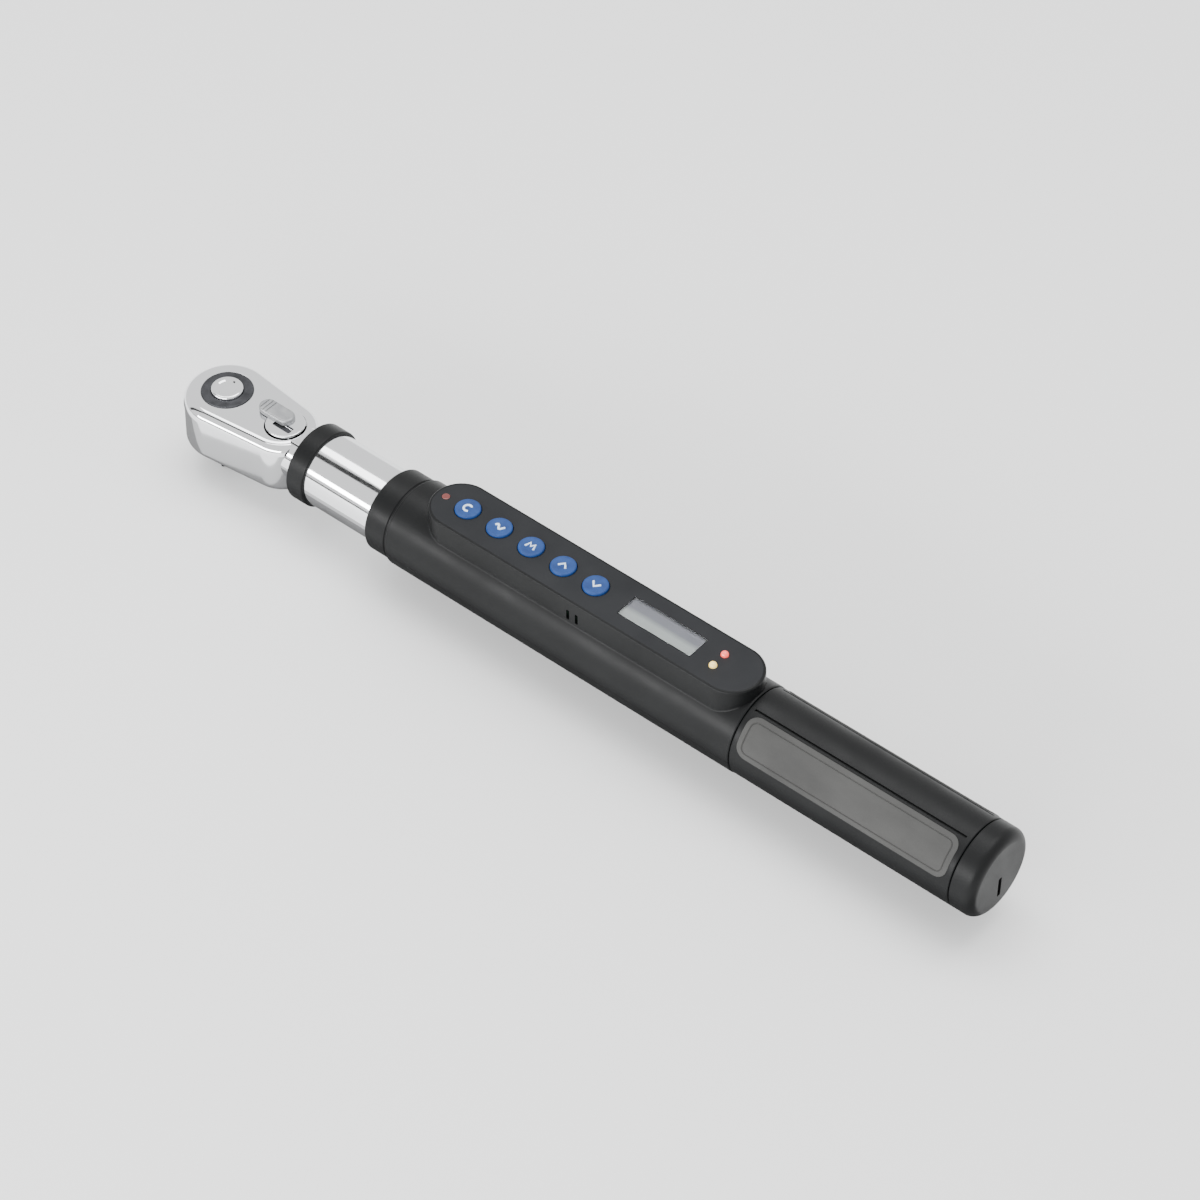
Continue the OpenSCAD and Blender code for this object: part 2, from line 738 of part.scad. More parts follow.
module end_cap() {
  color("dimgray") from_axis() difference() {
    union() {
      rotate([0, 90, 0]) rotate_extrude() polygon(concat(
        [[0, grip_x1], [grip_r, grip_x1]],
        arc_points(grip_r - 4, grip_x1 + cap_len - 4, 4, 0, 90, 8),
        [[0, grip_x1 + cap_len]]
      ));
      bar_x(grip_bore_r - free_gap, plug_x0, grip_x1 + 1);
    }
    translate([plug_x0 + 3, 0, 0]) rotate([0, 90, 0]) rotate_extrude() translate([grip_bore_r - 1.2, 0]) square([3, 1.4]);
    translate([0, -40, -flat_drop - 20]) cube([500, 80, 20]);
    translate([grip_x1 + cap_len - 3, -0.9, -10]) cube([10, 1.8, 9]);
  }
}

module cap_seal() {
  color("black") from_axis() translate([plug_x0 + 3.7, 0, 0]) rotate([0, 90, 0]) rotate_extrude()
    translate([grip_bore_r - 0.68, 0]) circle(r = 0.5);
}

module battery_spring() {
  color("silver") from_axis() translate([cells_x1 + 0.05, 0, 0]) rotate([0, 90, 0])
    coil(3.4, 0.35, 0, plug_x0 - cells_x1 - 0.1, 3);
}

ratchet_head();
drive_gear();
pawl();
pawl_pin();
reverse_lever();
lever_clip();
pawl_plunger();
plunger_spring();
release_button();
release_spring();
detent_ball();
cover_plate();
plate_screws();
neck_collar();
main_tube();
sensor_beam();
beam_pin();
strain_gauges();
front_ring();
housing_upper();
housing_lower();
housing_screws();
console_panel();
key_1();
key_2();
key_3();
key_4();
key_5();
key_switches();
display_window();
display_module();
red_light();
yellow_light();
front_lens();
circuit_board();
buzzer();
inner_sleeve();
grip_core();
grip_inset_near();
grip_inset_far();
battery_tray();
front_contact();
battery_cells();
end_cap();
cap_seal();
battery_spring();
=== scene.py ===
# Looks of a digital torque wrench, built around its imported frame. Lengths are in metres.
import json
import math

import bmesh
import bpy
from mathutils import Matrix, Vector


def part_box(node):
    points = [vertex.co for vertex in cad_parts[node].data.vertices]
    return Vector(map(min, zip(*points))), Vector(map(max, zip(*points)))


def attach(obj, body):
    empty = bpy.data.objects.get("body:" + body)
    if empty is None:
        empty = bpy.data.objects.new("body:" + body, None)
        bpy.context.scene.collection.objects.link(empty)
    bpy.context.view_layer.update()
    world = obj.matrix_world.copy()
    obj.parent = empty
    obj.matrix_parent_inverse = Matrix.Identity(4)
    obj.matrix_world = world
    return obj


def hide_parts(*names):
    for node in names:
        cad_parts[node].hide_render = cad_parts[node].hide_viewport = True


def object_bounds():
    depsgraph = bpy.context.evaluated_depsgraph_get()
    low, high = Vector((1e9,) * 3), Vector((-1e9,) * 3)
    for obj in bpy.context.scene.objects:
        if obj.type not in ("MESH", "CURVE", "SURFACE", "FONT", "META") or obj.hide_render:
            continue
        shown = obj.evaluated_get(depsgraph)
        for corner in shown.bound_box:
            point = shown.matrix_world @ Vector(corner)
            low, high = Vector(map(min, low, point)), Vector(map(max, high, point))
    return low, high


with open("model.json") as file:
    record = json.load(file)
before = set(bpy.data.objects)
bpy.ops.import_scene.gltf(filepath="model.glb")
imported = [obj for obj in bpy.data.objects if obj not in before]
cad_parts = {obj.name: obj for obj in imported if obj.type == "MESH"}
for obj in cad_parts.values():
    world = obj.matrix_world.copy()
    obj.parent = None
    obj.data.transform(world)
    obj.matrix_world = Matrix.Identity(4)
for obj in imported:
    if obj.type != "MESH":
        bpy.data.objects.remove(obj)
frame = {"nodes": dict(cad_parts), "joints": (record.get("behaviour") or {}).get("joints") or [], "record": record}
cad_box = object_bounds()

MM = 0.001
TURN = 2 * math.pi
ROUND_STEPS = 128

# ---- Places that the frame gives ----

HEAD_LOW, HEAD_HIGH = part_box("ratchet_head")
TUBE_LOW, TUBE_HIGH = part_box("main_tube")
SHELL_LOW, SHELL_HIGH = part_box("housing_upper")
PANEL_LOW, PANEL_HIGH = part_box("console_panel")
GRIP_LOW, GRIP_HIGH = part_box("grip_core")
INSET_LOW, INSET_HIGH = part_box("grip_inset_near")
CAP_LOW, CAP_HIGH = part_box("end_cap")
GEAR_LOW, GEAR_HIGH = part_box("drive_gear")
BALL_LOW, BALL_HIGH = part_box("detent_ball")
BUTTON_LOW, BUTTON_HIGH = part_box("release_button")
COLLAR_LOW, COLLAR_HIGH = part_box("neck_collar")
RING_LOW, RING_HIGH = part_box("front_ring")
SCREWS_LOW, SCREWS_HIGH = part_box("housing_screws")

AXIS_Z = (TUBE_LOW[2] + TUBE_HIGH[2]) / 2
ON_AXIS = (0, 0, AXIS_Z)
TUBE_R = (TUBE_HIGH[1] - TUBE_LOW[1]) / 2
SHELL_R = (SHELL_HIGH[1] - SHELL_LOW[1]) / 2
GRIP_R = CAP_HIGH[2] - AXIS_Z
PANEL_R = (PANEL_HIGH[1] - PANEL_LOW[1]) / 2
CONSOLE_R = PANEL_R + 0.9 * MM
CONSOLE_X0 = PANEL_LOW[0] + PANEL_R
CONSOLE_X1 = PANEL_HIGH[0] - PANEL_R
FLAT_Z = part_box("housing_lower")[0][2]
SHAFT_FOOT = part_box("reverse_lever")[0][2]
PLATE_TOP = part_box("cover_plate")[1][2]
LEVER_X = next(j for j in frame["joints"] if j["name"] == "reverse_turn")["pos_m"][0]

# ---- Clearances that the pieces share ----

EDGE_REACH = 0.1 * MM
SEAT_GAP = 0.05 * MM
RUN_GAP = 0.06 * MM
SPARE = 1 * MM
SHELL_WALL = 2.2 * MM


# ---- Shapes ----

def as_object(bm, name):
    """A linked object from a bmesh, with clean outward faces."""
    bmesh.ops.remove_doubles(bm, verts=bm.verts, dist=1e-6)
    bmesh.ops.recalc_face_normals(bm, faces=bm.faces)
    mesh = bpy.data.meshes.new(name)
    bm.to_mesh(mesh)
    bm.free()
    return linked(mesh, name)


def linked(data, name):
    """A new object in the scene."""
    obj = bpy.data.objects.new(name, data)
    bpy.context.scene.collection.objects.link(obj)
    return obj


def arc(cx, cy, radius, start, end, steps):
    """Points along an arc, in degrees."""
    angles = [math.radians(start + (end - start) * i / steps) for i in range(steps + 1)]
    return [(cx + radius * math.cos(a), cy + radius * math.sin(a)) for a in angles]


def stadium(x0, x1, radius, steps=40):
    """A slot-shaped outline between two end centres."""
    return arc(x1, 0, radius, -90, 90, steps) + arc(x0, 0, radius, 90, 270, steps)


def egg(r0, r1, distance, steps=56):
    """Two arcs joined by their common tangents."""
    a = math.degrees(math.acos((r0 - r1) / distance))
    return arc(0, 0, r0, a, 360 - a, steps) + arc(distance, 0, r1, -a, a, steps)


def prism(outline, z0, z1):
    """A closed plate from a plan outline."""
    bm = bmesh.new()
    face = bm.faces.new([bm.verts.new((x, y, z0)) for x, y in outline])
    grown = bmesh.ops.extrude_face_region(bm, geom=[face])
    top = [g for g in grown["geom"] if isinstance(g, bmesh.types.BMVert)]
    bmesh.ops.translate(bm, verts=top, vec=(0, 0, z1 - z0))
    bmesh.ops.recalc_face_normals(bm, faces=bm.faces)
    return bm


def block(low, high):
    """A closed box between two corners."""
    bm = bmesh.new()
    made = bmesh.ops.create_cube(bm, size=1)
    size = Vector(high) - Vector(low)
    middle = (Vector(high) + Vector(low)) / 2
    bmesh.ops.scale(bm, verts=made["verts"], vec=size)
    bmesh.ops.translate(bm, verts=made["verts"], vec=middle)
    return bm


def turn_about(bm, axis, degrees):
    """Turns a whole bmesh about one of the frame's axes."""
    matrix = Matrix.Rotation(math.radians(degrees), 3, axis)
    bmesh.ops.rotate(bm, verts=bm.verts, cent=(0, 0, 0), matrix=matrix)
    return bm


def shift(bm, place):
    """Moves a whole bmesh."""
    bmesh.ops.translate(bm, verts=bm.verts, vec=place)
    return bm


def turned(profile, axis="Z", centre=(0, 0, 0), steps=ROUND_STEPS):
    """A turned piece; the profile gives (radius, place along the axis) and closes itself."""
    bm = bmesh.new()
    verts = [bm.verts.new((r, 0, h)) for r, h in profile]
    pairs = list(zip(verts, verts[1:]))
    if profile[0][0] > 0 or profile[-1][0] > 0:
        pairs.append((verts[-1], verts[0]))
    edges = [bm.edges.new(pair) for pair in pairs]
    bmesh.ops.spin(
        bm, geom=verts + edges, cent=(0, 0, 0), axis=(0, 0, 1), dvec=(0, 0, 0),
        angle=TURN, steps=steps, use_merge=True, use_duplicate=False,
    )
    bmesh.ops.remove_doubles(bm, verts=bm.verts, dist=1e-7)
    bmesh.ops.recalc_face_normals(bm, faces=bm.faces)
    if axis == "X":
        turn_about(bm, "Y", 90)
    return shift(bm, centre)


def rod(radius, start, end, axis="Z", centre=(0, 0, 0), steps=ROUND_STEPS):
    """A solid round bar."""
    return turned([(0, start), (radius, start), (radius, end), (0, end)], axis, centre, steps)


def soften(bm, width, segments=3, angle=28, keep=None):
    """Rounds every edge sharper than the angle; keep picks which of them."""
    bm.normal_update()
    limit = math.radians(angle)
    edges = [e for e in bm.edges if len(e.link_faces) == 2 and e.calc_face_angle() > limit]
    if keep:
        edges = [e for e in edges if keep((e.verts[0].co + e.verts[1].co) / 2)]
    bmesh.ops.bevel(
        bm, geom=edges, offset=width, segments=segments, profile=0.5,
        affect="EDGES", material=-1, clamp_overlap=False,
    )
    return bm


def above(z):
    """Picks the edges above a height."""
    return lambda p: p.z > z


def below(z):
    """Picks the edges below a height."""
    return lambda p: p.z < z


def evaluated_mesh(obj):
    """The object's mesh with its modifiers or its curve worked out."""
    graph = bpy.context.evaluated_depsgraph_get()
    return bpy.data.meshes.new_from_object(obj.evaluated_get(graph))


def combine(base, tools, how):
    """Joins or cuts the base object with each tool, which is used up."""
    for bm in tools:
        tool = as_object(bm, "tool")
        step = base.modifiers.new("combine", "BOOLEAN")
        step.operation = how
        step.solver = "EXACT"
        step.object = tool
        mesh = evaluated_mesh(base)
        base.modifiers.clear()
        base.data = mesh
        bpy.data.objects.remove(tool)
    return base


def soften_object(obj, width, segments, angle, keep):
    """Rounds the picked edges of a finished object."""
    bm = bmesh.new()
    bm.from_mesh(obj.data)
    soften(bm, width, segments, angle, keep)
    bm.to_mesh(obj.data)
    bm.free()


def under_flat(x0, x1):
    """What lies below the flat that the handle rests on."""
    return block((x0 - SPARE, -30 * MM, FLAT_Z - 20 * MM), (x1 + SPARE, 30 * MM, FLAT_Z))


def middle_of(node):
    """Plan centre of a node."""
    low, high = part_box(node)
    return (low[0] + high[0]) / 2, (low[1] + high[1]) / 2


def shade(obj, angle):
    """Smooth faces with sharp edges kept, and flat faces that stay flat."""
    obj.data.shade_smooth()
    obj.data.set_sharp_from_angle(angle=math.radians(angle))
    weight = obj.modifiers.new("weight", "WEIGHTED_NORMAL")
    weight.keep_sharp = True


def finish_piece(obj, body, slot, *nodes, look=None, angle=30):
    """Gives a piece its finish, picked by its slot, and its body, and hides the nodes that it stands for."""
    obj.data.materials.clear()
    obj.data.materials.append(look or MATERIALS[slot])
    shade(obj, angle)
    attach(obj, body)
    if nodes:
        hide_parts(*nodes)


# ---- Materials ----

def shader_of(material):
    """The material's main shader node."""
    return material.node_tree.nodes["Principled BSDF"]


def plain(name, colour, roughness, metallic=0.0, **sockets):
    """A material of one colour, with further sockets by their names."""
    material = bpy.data.materials.new(name)
    material.use_nodes = True
    shader = shader_of(material)
    shader.inputs["Base Color"].default_value = (*colour, 1)
    shader.inputs["Roughness"].default_value = roughness
    shader.inputs["Metallic"].default_value = metallic
    for socket, value in sockets.items():
        shader.inputs[socket.replace("_", " ")].default_value = value
    return material


def noise(material, scale, detail=3.0, stretch=(1, 1, 1)):
    """A noise pattern on object coordinates."""
    nodes, links = material.node_tree.nodes, material.node_tree.links
    place = nodes.new("ShaderNodeTexCoord")
    turn = nodes.new("ShaderNodeMapping")
    turn.inputs["Scale"].default_value = stretch
    pattern = nodes.new("ShaderNodeTexNoise")
    pattern.inputs["Scale"].default_value = scale
    pattern.inputs["Detail"].default_value = detail
    links.new(place.outputs["Object"], turn.inputs["Vector"])
    links.new(turn.outputs["Vector"], pattern.inputs["Vector"])
    return pattern.outputs["Fac"]


def ramp(material, source, low, high, start=0.3, end=0.7):
    """Maps a pattern to colours or greys between low and high."""
    nodes, links = material.node_tree.nodes, material.node_tree.links
    node = nodes.new("ShaderNodeValToRGB")
    node.color_ramp.elements[0].position = start
    node.color_ramp.elements[1].position = end
    node.color_ramp.elements[0].color = (*low, 1)
    node.color_ramp.elements[1].color = (*high, 1)
    links.new(source, node.inputs["Fac"])
    return node.outputs["Color"]


def place_across(material, start, end):
    """Runs from nought to one across the tool, between two places in y."""
    nodes, links = material.node_tree.nodes, material.node_tree.links
    place = nodes.new("ShaderNodeTexCoord")
    parts = nodes.new("ShaderNodeSeparateXYZ")
    span = nodes.new("ShaderNodeMapRange")
    span.inputs["From Min"].default_value = start
    span.inputs["From Max"].default_value = end
    links.new(place.outputs["Object"], parts.inputs["Vector"])
    links.new(parts.outputs["Y"], span.inputs["Value"])
    return span.outputs["Result"]


def mottle(material, scale, low, high, stretch=(1, 1, 1)):
    """Colour that drifts a little over the surface."""
    colour = ramp(material, noise(material, scale, 4, stretch), low, high)
    material.node_tree.links.new(colour, shader_of(material).inputs["Base Color"])


def handled(material, scale, low, high, stretch=(1, 1, 1)):
    """Roughness that varies as on a handled surface."""
    grey = ramp(material, noise(material, scale, 4, stretch), (low,) * 3, (high,) * 3, 0.25, 0.75)
    material.node_tree.links.new(grey, shader_of(material).inputs["Roughness"])


def texture_bump(material, source, strength, distance):
    """A fine relief from a pattern."""
    nodes, links = material.node_tree.nodes, material.node_tree.links
    bump = nodes.new("ShaderNodeBump")
    bump.inputs["Strength"].default_value = strength
    bump.inputs["Distance"].default_value = distance
    links.new(source, bump.inputs["Height"])
    links.new(bump.outputs["Normal"], shader_of(material).inputs["Normal"])


def chrome_plate():
    """Bright plate with faint handling marks."""
    material = plain("chrome", (0.86, 0.87, 0.885), 0.08, 1.0)
    handled(material, 55, 0.05, 0.12)
    texture_bump(material, noise(material, 260, 2), 0.05, 0.1 * MM)
    return material


def oxide_steel():
    """Dark oxide finish of the drive."""
    material = plain("black_steel", (0.035, 0.036, 0.04), 0.36, 0.7)
    mottle(material, 240, (0.026, 0.027, 0.03), (0.055, 0.056, 0.062))
    handled(material, 300, 0.28, 0.46)
    texture_bump(material, noise(material, 2600, 3), 0.12, 0.05 * MM)
    return material


def ground_steel():
    """Bare ground steel of the inner parts."""
    material = plain("tool_steel", (0.55, 0.55, 0.57), 0.3, 1.0)
    handled(material, 900, 0.22, 0.42, (1, 1, 12))
    texture_bump(material, noise(material, 1800, 2, (1, 1, 10)), 0.08, 0.04 * MM)
    return material


def lever_grey():
    """Fine grey texture of the thumb tab."""
    material = plain("grey_lever", (0.3, 0.305, 0.315), 0.42, 0.6)
    mottle(material, 300, (0.26, 0.265, 0.275), (0.36, 0.365, 0.37))
    texture_bump(material, noise(material, 3200, 2), 0.15, 0.05 * MM)
    return material


def moulded_black():
    """Fine-grained black plastic."""
    material = plain("black_plastic", (0.005, 0.0053, 0.0056), 0.4, Specular_IOR_Level=0.17)
    mottle(material, 42, (0.004, 0.0043, 0.0046), (0.0065, 0.007, 0.0073))
    handled(material, 60, 0.34, 0.48)
    texture_bump(material, noise(material, 2400, 4), 0.32, 0.08 * MM)
    return material


def panel_film():
    """Smoother dark film of the console."""
    material = plain("panel_plastic", (0.009, 0.0098, 0.0115), 0.36, Specular_IOR_Level=0.22)
    mottle(material, 50, (0.0075, 0.0082, 0.0098), (0.011, 0.012, 0.014))
    handled(material, 85, 0.28, 0.42)
    texture_bump(material, noise(material, 4200, 2), 0.1, 0.04 * MM)
    return material


def soft_grey():
    """Soft matt rubber of the grip's insets."""
    material = plain("grey_rubber", (0.05, 0.05, 0.048), 0.78, Specular_IOR_Level=0.3)
    mottle(material, 55, (0.042, 0.042, 0.041), (0.062, 0.062, 0.06), (0.35, 1, 1))
    handled(material, 90, 0.68, 0.86)
    texture_bump(material, noise(material, 1500, 4), 0.45, 0.12 * MM)
    return material


def key_blue():
    """Matt blue rubber of the keys."""
    material = plain("blue_rubber", (0.01, 0.045, 0.18), 0.5, Specular_IOR_Level=0.3)
    mottle(material, 260, (0.006, 0.032, 0.14), (0.012, 0.052, 0.2))
    texture_bump(material, noise(material, 2600, 3), 0.22, 0.06 * MM)
    return material


def glyph_white():
    """The pale print of the key marks."""
    material = plain("glyph_white", (0.62, 0.74, 0.9), 0.5)
    mottle(material, 600, (0.55, 0.68, 0.86), (0.72, 0.82, 0.95))
    return material


def window_glass():
    """Clear window over the display."""
    material = plain("window", (0.93, 0.95, 0.95), 0.06, Transmission_Weight=1.0, IOR=1.46)
    handled(material, 120, 0.03, 0.1)
    return material


def liquid_crystal():
    """The display's face, with painted light: lighter on its near half and darker on its far half."""
    light, dark = (0.5, 0.53, 0.52), (0.2, 0.2, 0.24)
    half_width = 4 * MM
    material = plain("display_grey", (0.34, 0.37, 0.38), 0.35)
    # painted light: the face's colour runs from light on its near half to dark on its far half
    colour = ramp(material, place_across(material, -half_width, half_width), light, dark, 0.35, 0.65)
    material.node_tree.links.new(colour, shader_of(material).inputs["Base Color"])
    texture_bump(material, noise(material, 5200, 2), 0.06, 0.03 * MM)
    return material


def coloured_lens(name, colour, glow):
    """A lens of one colour; its glow is nought where it is unlit."""
    material = plain(
        name, colour, 0.16, Coat_Weight=0.6, Emission_Color=(*colour, 1), Emission_Strength=glow
    )
    handled(material, 900, 0.12, 0.24)
    return material


def board_mask():
    """Green coating of the circuit board."""
    material = plain("board_green", (0.02, 0.16, 0.07), 0.4)
    mottle(material, 900, (0.015, 0.13, 0.055), (0.03, 0.22, 0.09), (6, 1, 1))
    return material


def gauge_foil():
    """Golden foil of the strain gauges."""
    material = plain("gauge_foil", (0.7, 0.52, 0.22), 0.3, 1.0)
    handled(material, 1200, 0.2, 0.45)
    return material


def cell_wrap():
    """Plain gold-coloured wrap of the cells."""
    material = plain("cell_wrap", (0.5, 0.36, 0.1), 0.3, 0.3)
    mottle(material, 120, (0.42, 0.3, 0.08), (0.58, 0.42, 0.13))
    return material


def seal_rubber():
    """Dull black rubber of the seals."""
    material = plain("seal_rubber", (0.012, 0.012, 0.012), 0.6)
    texture_bump(material, noise(material, 2000, 3), 0.2, 0.05 * MM)
    handled(material, 400, 0.5, 0.7)
    return material


MATERIALS = {
    "chrome": chrome_plate(),
    "black_steel": oxide_steel(),
    "tool_steel": ground_steel(),
    "grey_lever": lever_grey(),
    "black_plastic": moulded_black(),
    "panel_plastic": panel_film(),
    "gauge_foil": gauge_foil(),
    "blue_rubber": key_blue(),
    "window": window_glass(),
    "display_grey": liquid_crystal(),
    "red_lens": coloured_lens("red_lens", (0.85, 0.1, 0.08), 0.9),
    "yellow_lens": coloured_lens("yellow_lens", (0.9, 0.66, 0.2), 0.9),
    "dull_red": coloured_lens("dull_red", (0.14, 0.02, 0.016), 0.0),
    "board_green": board_mask(),
    "grey_rubber": soft_grey(),
    "cell_wrap": cell_wrap(),
    "seal_rubber": seal_rubber(),
}
GLYPH_WHITE = glyph_white()


def paint_cad_nodes():
    """Every carried-over node takes the finish of its slot in the record."""
    for part in frame["record"]["subparts"]:
        node = frame["nodes"][part["node"]]
        node.data.materials.clear()
        node.data.materials.append(MATERIALS[part["material_slot"]])


# ---- Ratchet head ----

HEAD_TOP = AXIS_Z + 9.7 * MM
HEAD_BOTTOM = HEAD_LOW[2]
NOSE_R = -HEAD_LOW[0]
TAIL_R = 14 * MM
TAIL_X = 28 * MM
NECK_R = 10.8 * MM
NECK_CHAMFER = 0.6 * MM
TOP_ROUND = 4.4 * MM
LOW_ROUND = 3.4 * MM
HUB_R = 10 * MM
CHAMBER_R = 13 * MM
CHAMBER_TOP = AXIS_Z + 5.2 * MM
PLATE_NOSE_R = 13.9 * MM
PLATE_TAIL_R = 10.5 * MM
PLATE_TAIL_X = 27 * MM
PAWL_HALF_ROOM = 9.3 * MM
SHAFT_HALF_ROOM = 4.6 * MM
DISH_R = 7.9 * MM
DISH_DEPTH = 1.5 * MM
SHAFT_R = 3 * MM


def head_body():
    """The pear-shaped head with its round neck."""
    body = prism(egg(NOSE_R, TAIL_R, TAIL_X), HEAD_BOTTOM, HEAD_TOP)
    soften(body, TOP_ROUND, 9, 60, keep=above(HEAD_TOP - EDGE_REACH))
    soften(body, LOW_ROUND, 8, 60, keep=below(HEAD_BOTTOM + EDGE_REACH))
    head = as_object(body, "ratchet_head_shell")
    end = HEAD_HIGH[0]
    neck = turned([(0, TAIL_X), (NECK_R, TAIL_X), (NECK_R, end - NECK_CHAMFER), (0, end)], "X", ON_AXIS)
    return combine(head, [neck], "UNION")


def head_cutters():
    """The neck's flat, the hub's hole, the chamber with its plate seat, and the lever's dish and shaft."""
    under, over = HEAD_BOTTOM - SPARE, HEAD_TOP + SPARE
    room_floor = HEAD_BOTTOM + SPARE
    seat = egg(PLATE_NOSE_R + SEAT_GAP, PLATE_TAIL_R + SEAT_GAP, PLATE_TAIL_X)
    beside_lever = (LEVER_X, 0, 0)
    return [
        block((TAIL_X, -2 * TAIL_R, HEAD_TOP), (HEAD_HIGH[0] + 20 * MM, 2 * TAIL_R, HEAD_TOP + 10 * MM)),
        rod(HUB_R + RUN_GAP, under, over),
        rod(CHAMBER_R, under, CHAMBER_TOP),
        prism(seat, under, PLATE_TOP),
        block((8 * MM, -PAWL_HALF_ROOM, room_floor), (25.2 * MM, PAWL_HALF_ROOM, CHAMBER_TOP)),
        block((22 * MM, -SHAFT_HALF_ROOM, room_floor), (34.4 * MM, SHAFT_HALF_ROOM, CHAMBER_TOP)),
        rod(DISH_R, HEAD_TOP - DISH_DEPTH, over, centre=beside_lever),
        rod(SHAFT_R + SEAT_GAP, 0, HEAD_TOP, centre=beside_lever),
    ]


def ratchet_head():
    """The chromed head, cut and with its top edges eased."""
    head = combine(head_body(), head_cutters(), "DIFFERENCE")
    soften_object(head, 0.25 * MM, 2, 40, above(HEAD_TOP - 0.2 * MM))
    finish_piece(head, "tool", "chrome", "ratchet_head")


# ---- Drive and release button ----

HUB_TOP = GEAR_HIGH[2]
GEAR_TOP = AXIS_Z + 4.8 * MM
GEAR_BOTTOM = AXIS_Z - 11.5 * MM
BUTTON_FLOOR = AXIS_Z + 3 * MM
SHOULDER_Z = AXIS_Z - 15 * MM
DRIVE_TIP = GEAR_LOW[2]
HUB_BORE_R = 6.25 * MM
GEAR_CORE_R = 11.7 * MM
BOSS_R = 9 * MM
STEM_R = 2 * MM
TOOTH_COUNT = 36
TOOTH_ROOT_R = 11.6 * MM
TOOTH_TIP_R = 12.6 * MM
SQUARE_SIDE = 9.525 * MM
SQUARE_ROUND = 0.75 * MM
SQUARE_TURN = 45
BALL_HOLE_R = 1.65 * MM
BALL_TURN = 135
BALL_Z = (BALL_LOW[2] + BALL_HIGH[2]) / 2
BUTTON_R = (BUTTON_HIGH[0] - BUTTON_LOW[0]) / 2
BUTTON_SKIRT = AXIS_Z + 7.6 * MM
BUTTON_ROUND = 0.9 * MM
BUTTON_DISH = 0.35 * MM
STEM_WAIST = AXIS_Z - 17.5 * MM
WAIST_R = 1.2 * MM


def gear_body():
    """Hub, gear blank and lower boss in one turning."""
    bore = STEM_R + SEAT_GAP
    body = turned([
        (HUB_BORE_R, HUB_TOP), (HUB_R, HUB_TOP), (HUB_R, GEAR_TOP), (GEAR_CORE_R, GEAR_TOP),
        (GEAR_CORE_R, GEAR_BOTTOM), (BOSS_R, GEAR_BOTTOM), (BOSS_R, SHOULDER_Z),
        (bore, SHOULDER_Z), (bore, BUTTON_FLOOR), (HUB_BORE_R, BUTTON_FLOOR),
    ])
    soften(body, 0.35 * MM, 3, 40)
    finish_piece(as_object(body, "drive_gear_body"), "drive", "black_steel", "drive_gear")


def gear_teeth():
    """The ratchet teeth round the gear, one prism each."""
    pitch = TURN / TOOTH_COUNT
    root_half = 0.36 * pitch
    tip_half = 0.35 * root_half
    corners = [
        (TOOTH_ROOT_R, -root_half), (TOOTH_TIP_R, -tip_half),
        (TOOTH_TIP_R, tip_half), (TOOTH_ROOT_R, root_half),
    ]
    teeth = bmesh.new()
    for i in range(TOOTH_COUNT):
        outline = [(r * math.cos(i * pitch + a), r * math.sin(i * pitch + a)) for r, a in corners]
        tooth = prism(outline, GEAR_BOTTOM, GEAR_TOP)
        mesh = bpy.data.meshes.new("tooth")
        tooth.to_mesh(mesh)
        tooth.free()
        teeth.from_mesh(mesh)
        bpy.data.meshes.remove(mesh)
    finish_piece(as_object(teeth, "drive_gear_teeth"), "drive", "black_steel", angle=20)


def square_drive():
    """The square with its stem bore and its ball's hole."""
    half = SQUARE_SIDE / 2
    square = block((-half, -half, DRIVE_TIP), (half, half, SHOULDER_Z + 0.5 * MM))
    soften(square, SQUARE_ROUND, 4, 60)
    drive = as_object(turn_about(square, "Z", SQUARE_TURN), "square_drive")
    stem_bore = rod(STEM_R + SEAT_GAP, DRIVE_TIP + 1.2 * MM, 20 * MM)
    ball_hole = shift(turn_about(rod(BALL_HOLE_R, 0, 9 * MM, "X"), "Z", BALL_TURN), (0, 0, BALL_Z))
    combine(drive, [stem_bore, ball_hole], "DIFFERENCE")
    finish_piece(drive, "drive", "black_steel")


def release_button():
    """The dished button on its waisted stem."""
    top, bottom = BUTTON_HIGH[2], BUTTON_LOW[2]
    profile = [(0, top - BUTTON_DISH), (BUTTON_R - 2.7 * MM, top - BUTTON_DISH), (BUTTON_R - 2.1 * MM, top)]
    profile += [(r, h) for h, r in arc(top - BUTTON_ROUND, BUTTON_R - BUTTON_ROUND, BUTTON_ROUND, 0, 90, 8)]
    profile += [
        (BUTTON_R, BUTTON_SKIRT + 0.5 * MM), (BUTTON_R - 0.5 * MM, BUTTON_SKIRT), (STEM_R, BUTTON_SKIRT),
        (STEM_R, STEM_WAIST + 2.8 * MM), (WAIST_R, STEM_WAIST + 1.8 * MM), (WAIST_R, STEM_WAIST),
        (STEM_R, STEM_WAIST - 2.5 * MM), (STEM_R, bottom + 0.4 * MM),
        (STEM_R - 0.4 * MM, bottom), (0, bottom),
    ]
    button = as_object(turned(profile), "release_button_cap")
    finish_piece(button, "button", "chrome", "release_button")


# ---- Reverse lever ----

LEVER_TOP = AXIS_Z + 10.9 * MM
LEVER_FLOOR = AXIS_Z + 8.5 * MM
LEVER_R = 7.6 * MM
TAB_BOTTOM = AXIS_Z + 10 * MM
TAB_TOP = AXIS_Z + 12.6 * MM
TAB_R = 3.5 * MM
TAB_LENGTH = 9 * MM
TAB_PLACE = (LEVER_X - 10.5 * MM, 2 * MM)
SLOT_FLOOR = AXIS_Z + 9.5 * MM
PLUNGER_BORE_R = 1.15 * MM
GROOVE_PITCH = 1.6 * MM
GROOVE_WIDTH = 0.6 * MM


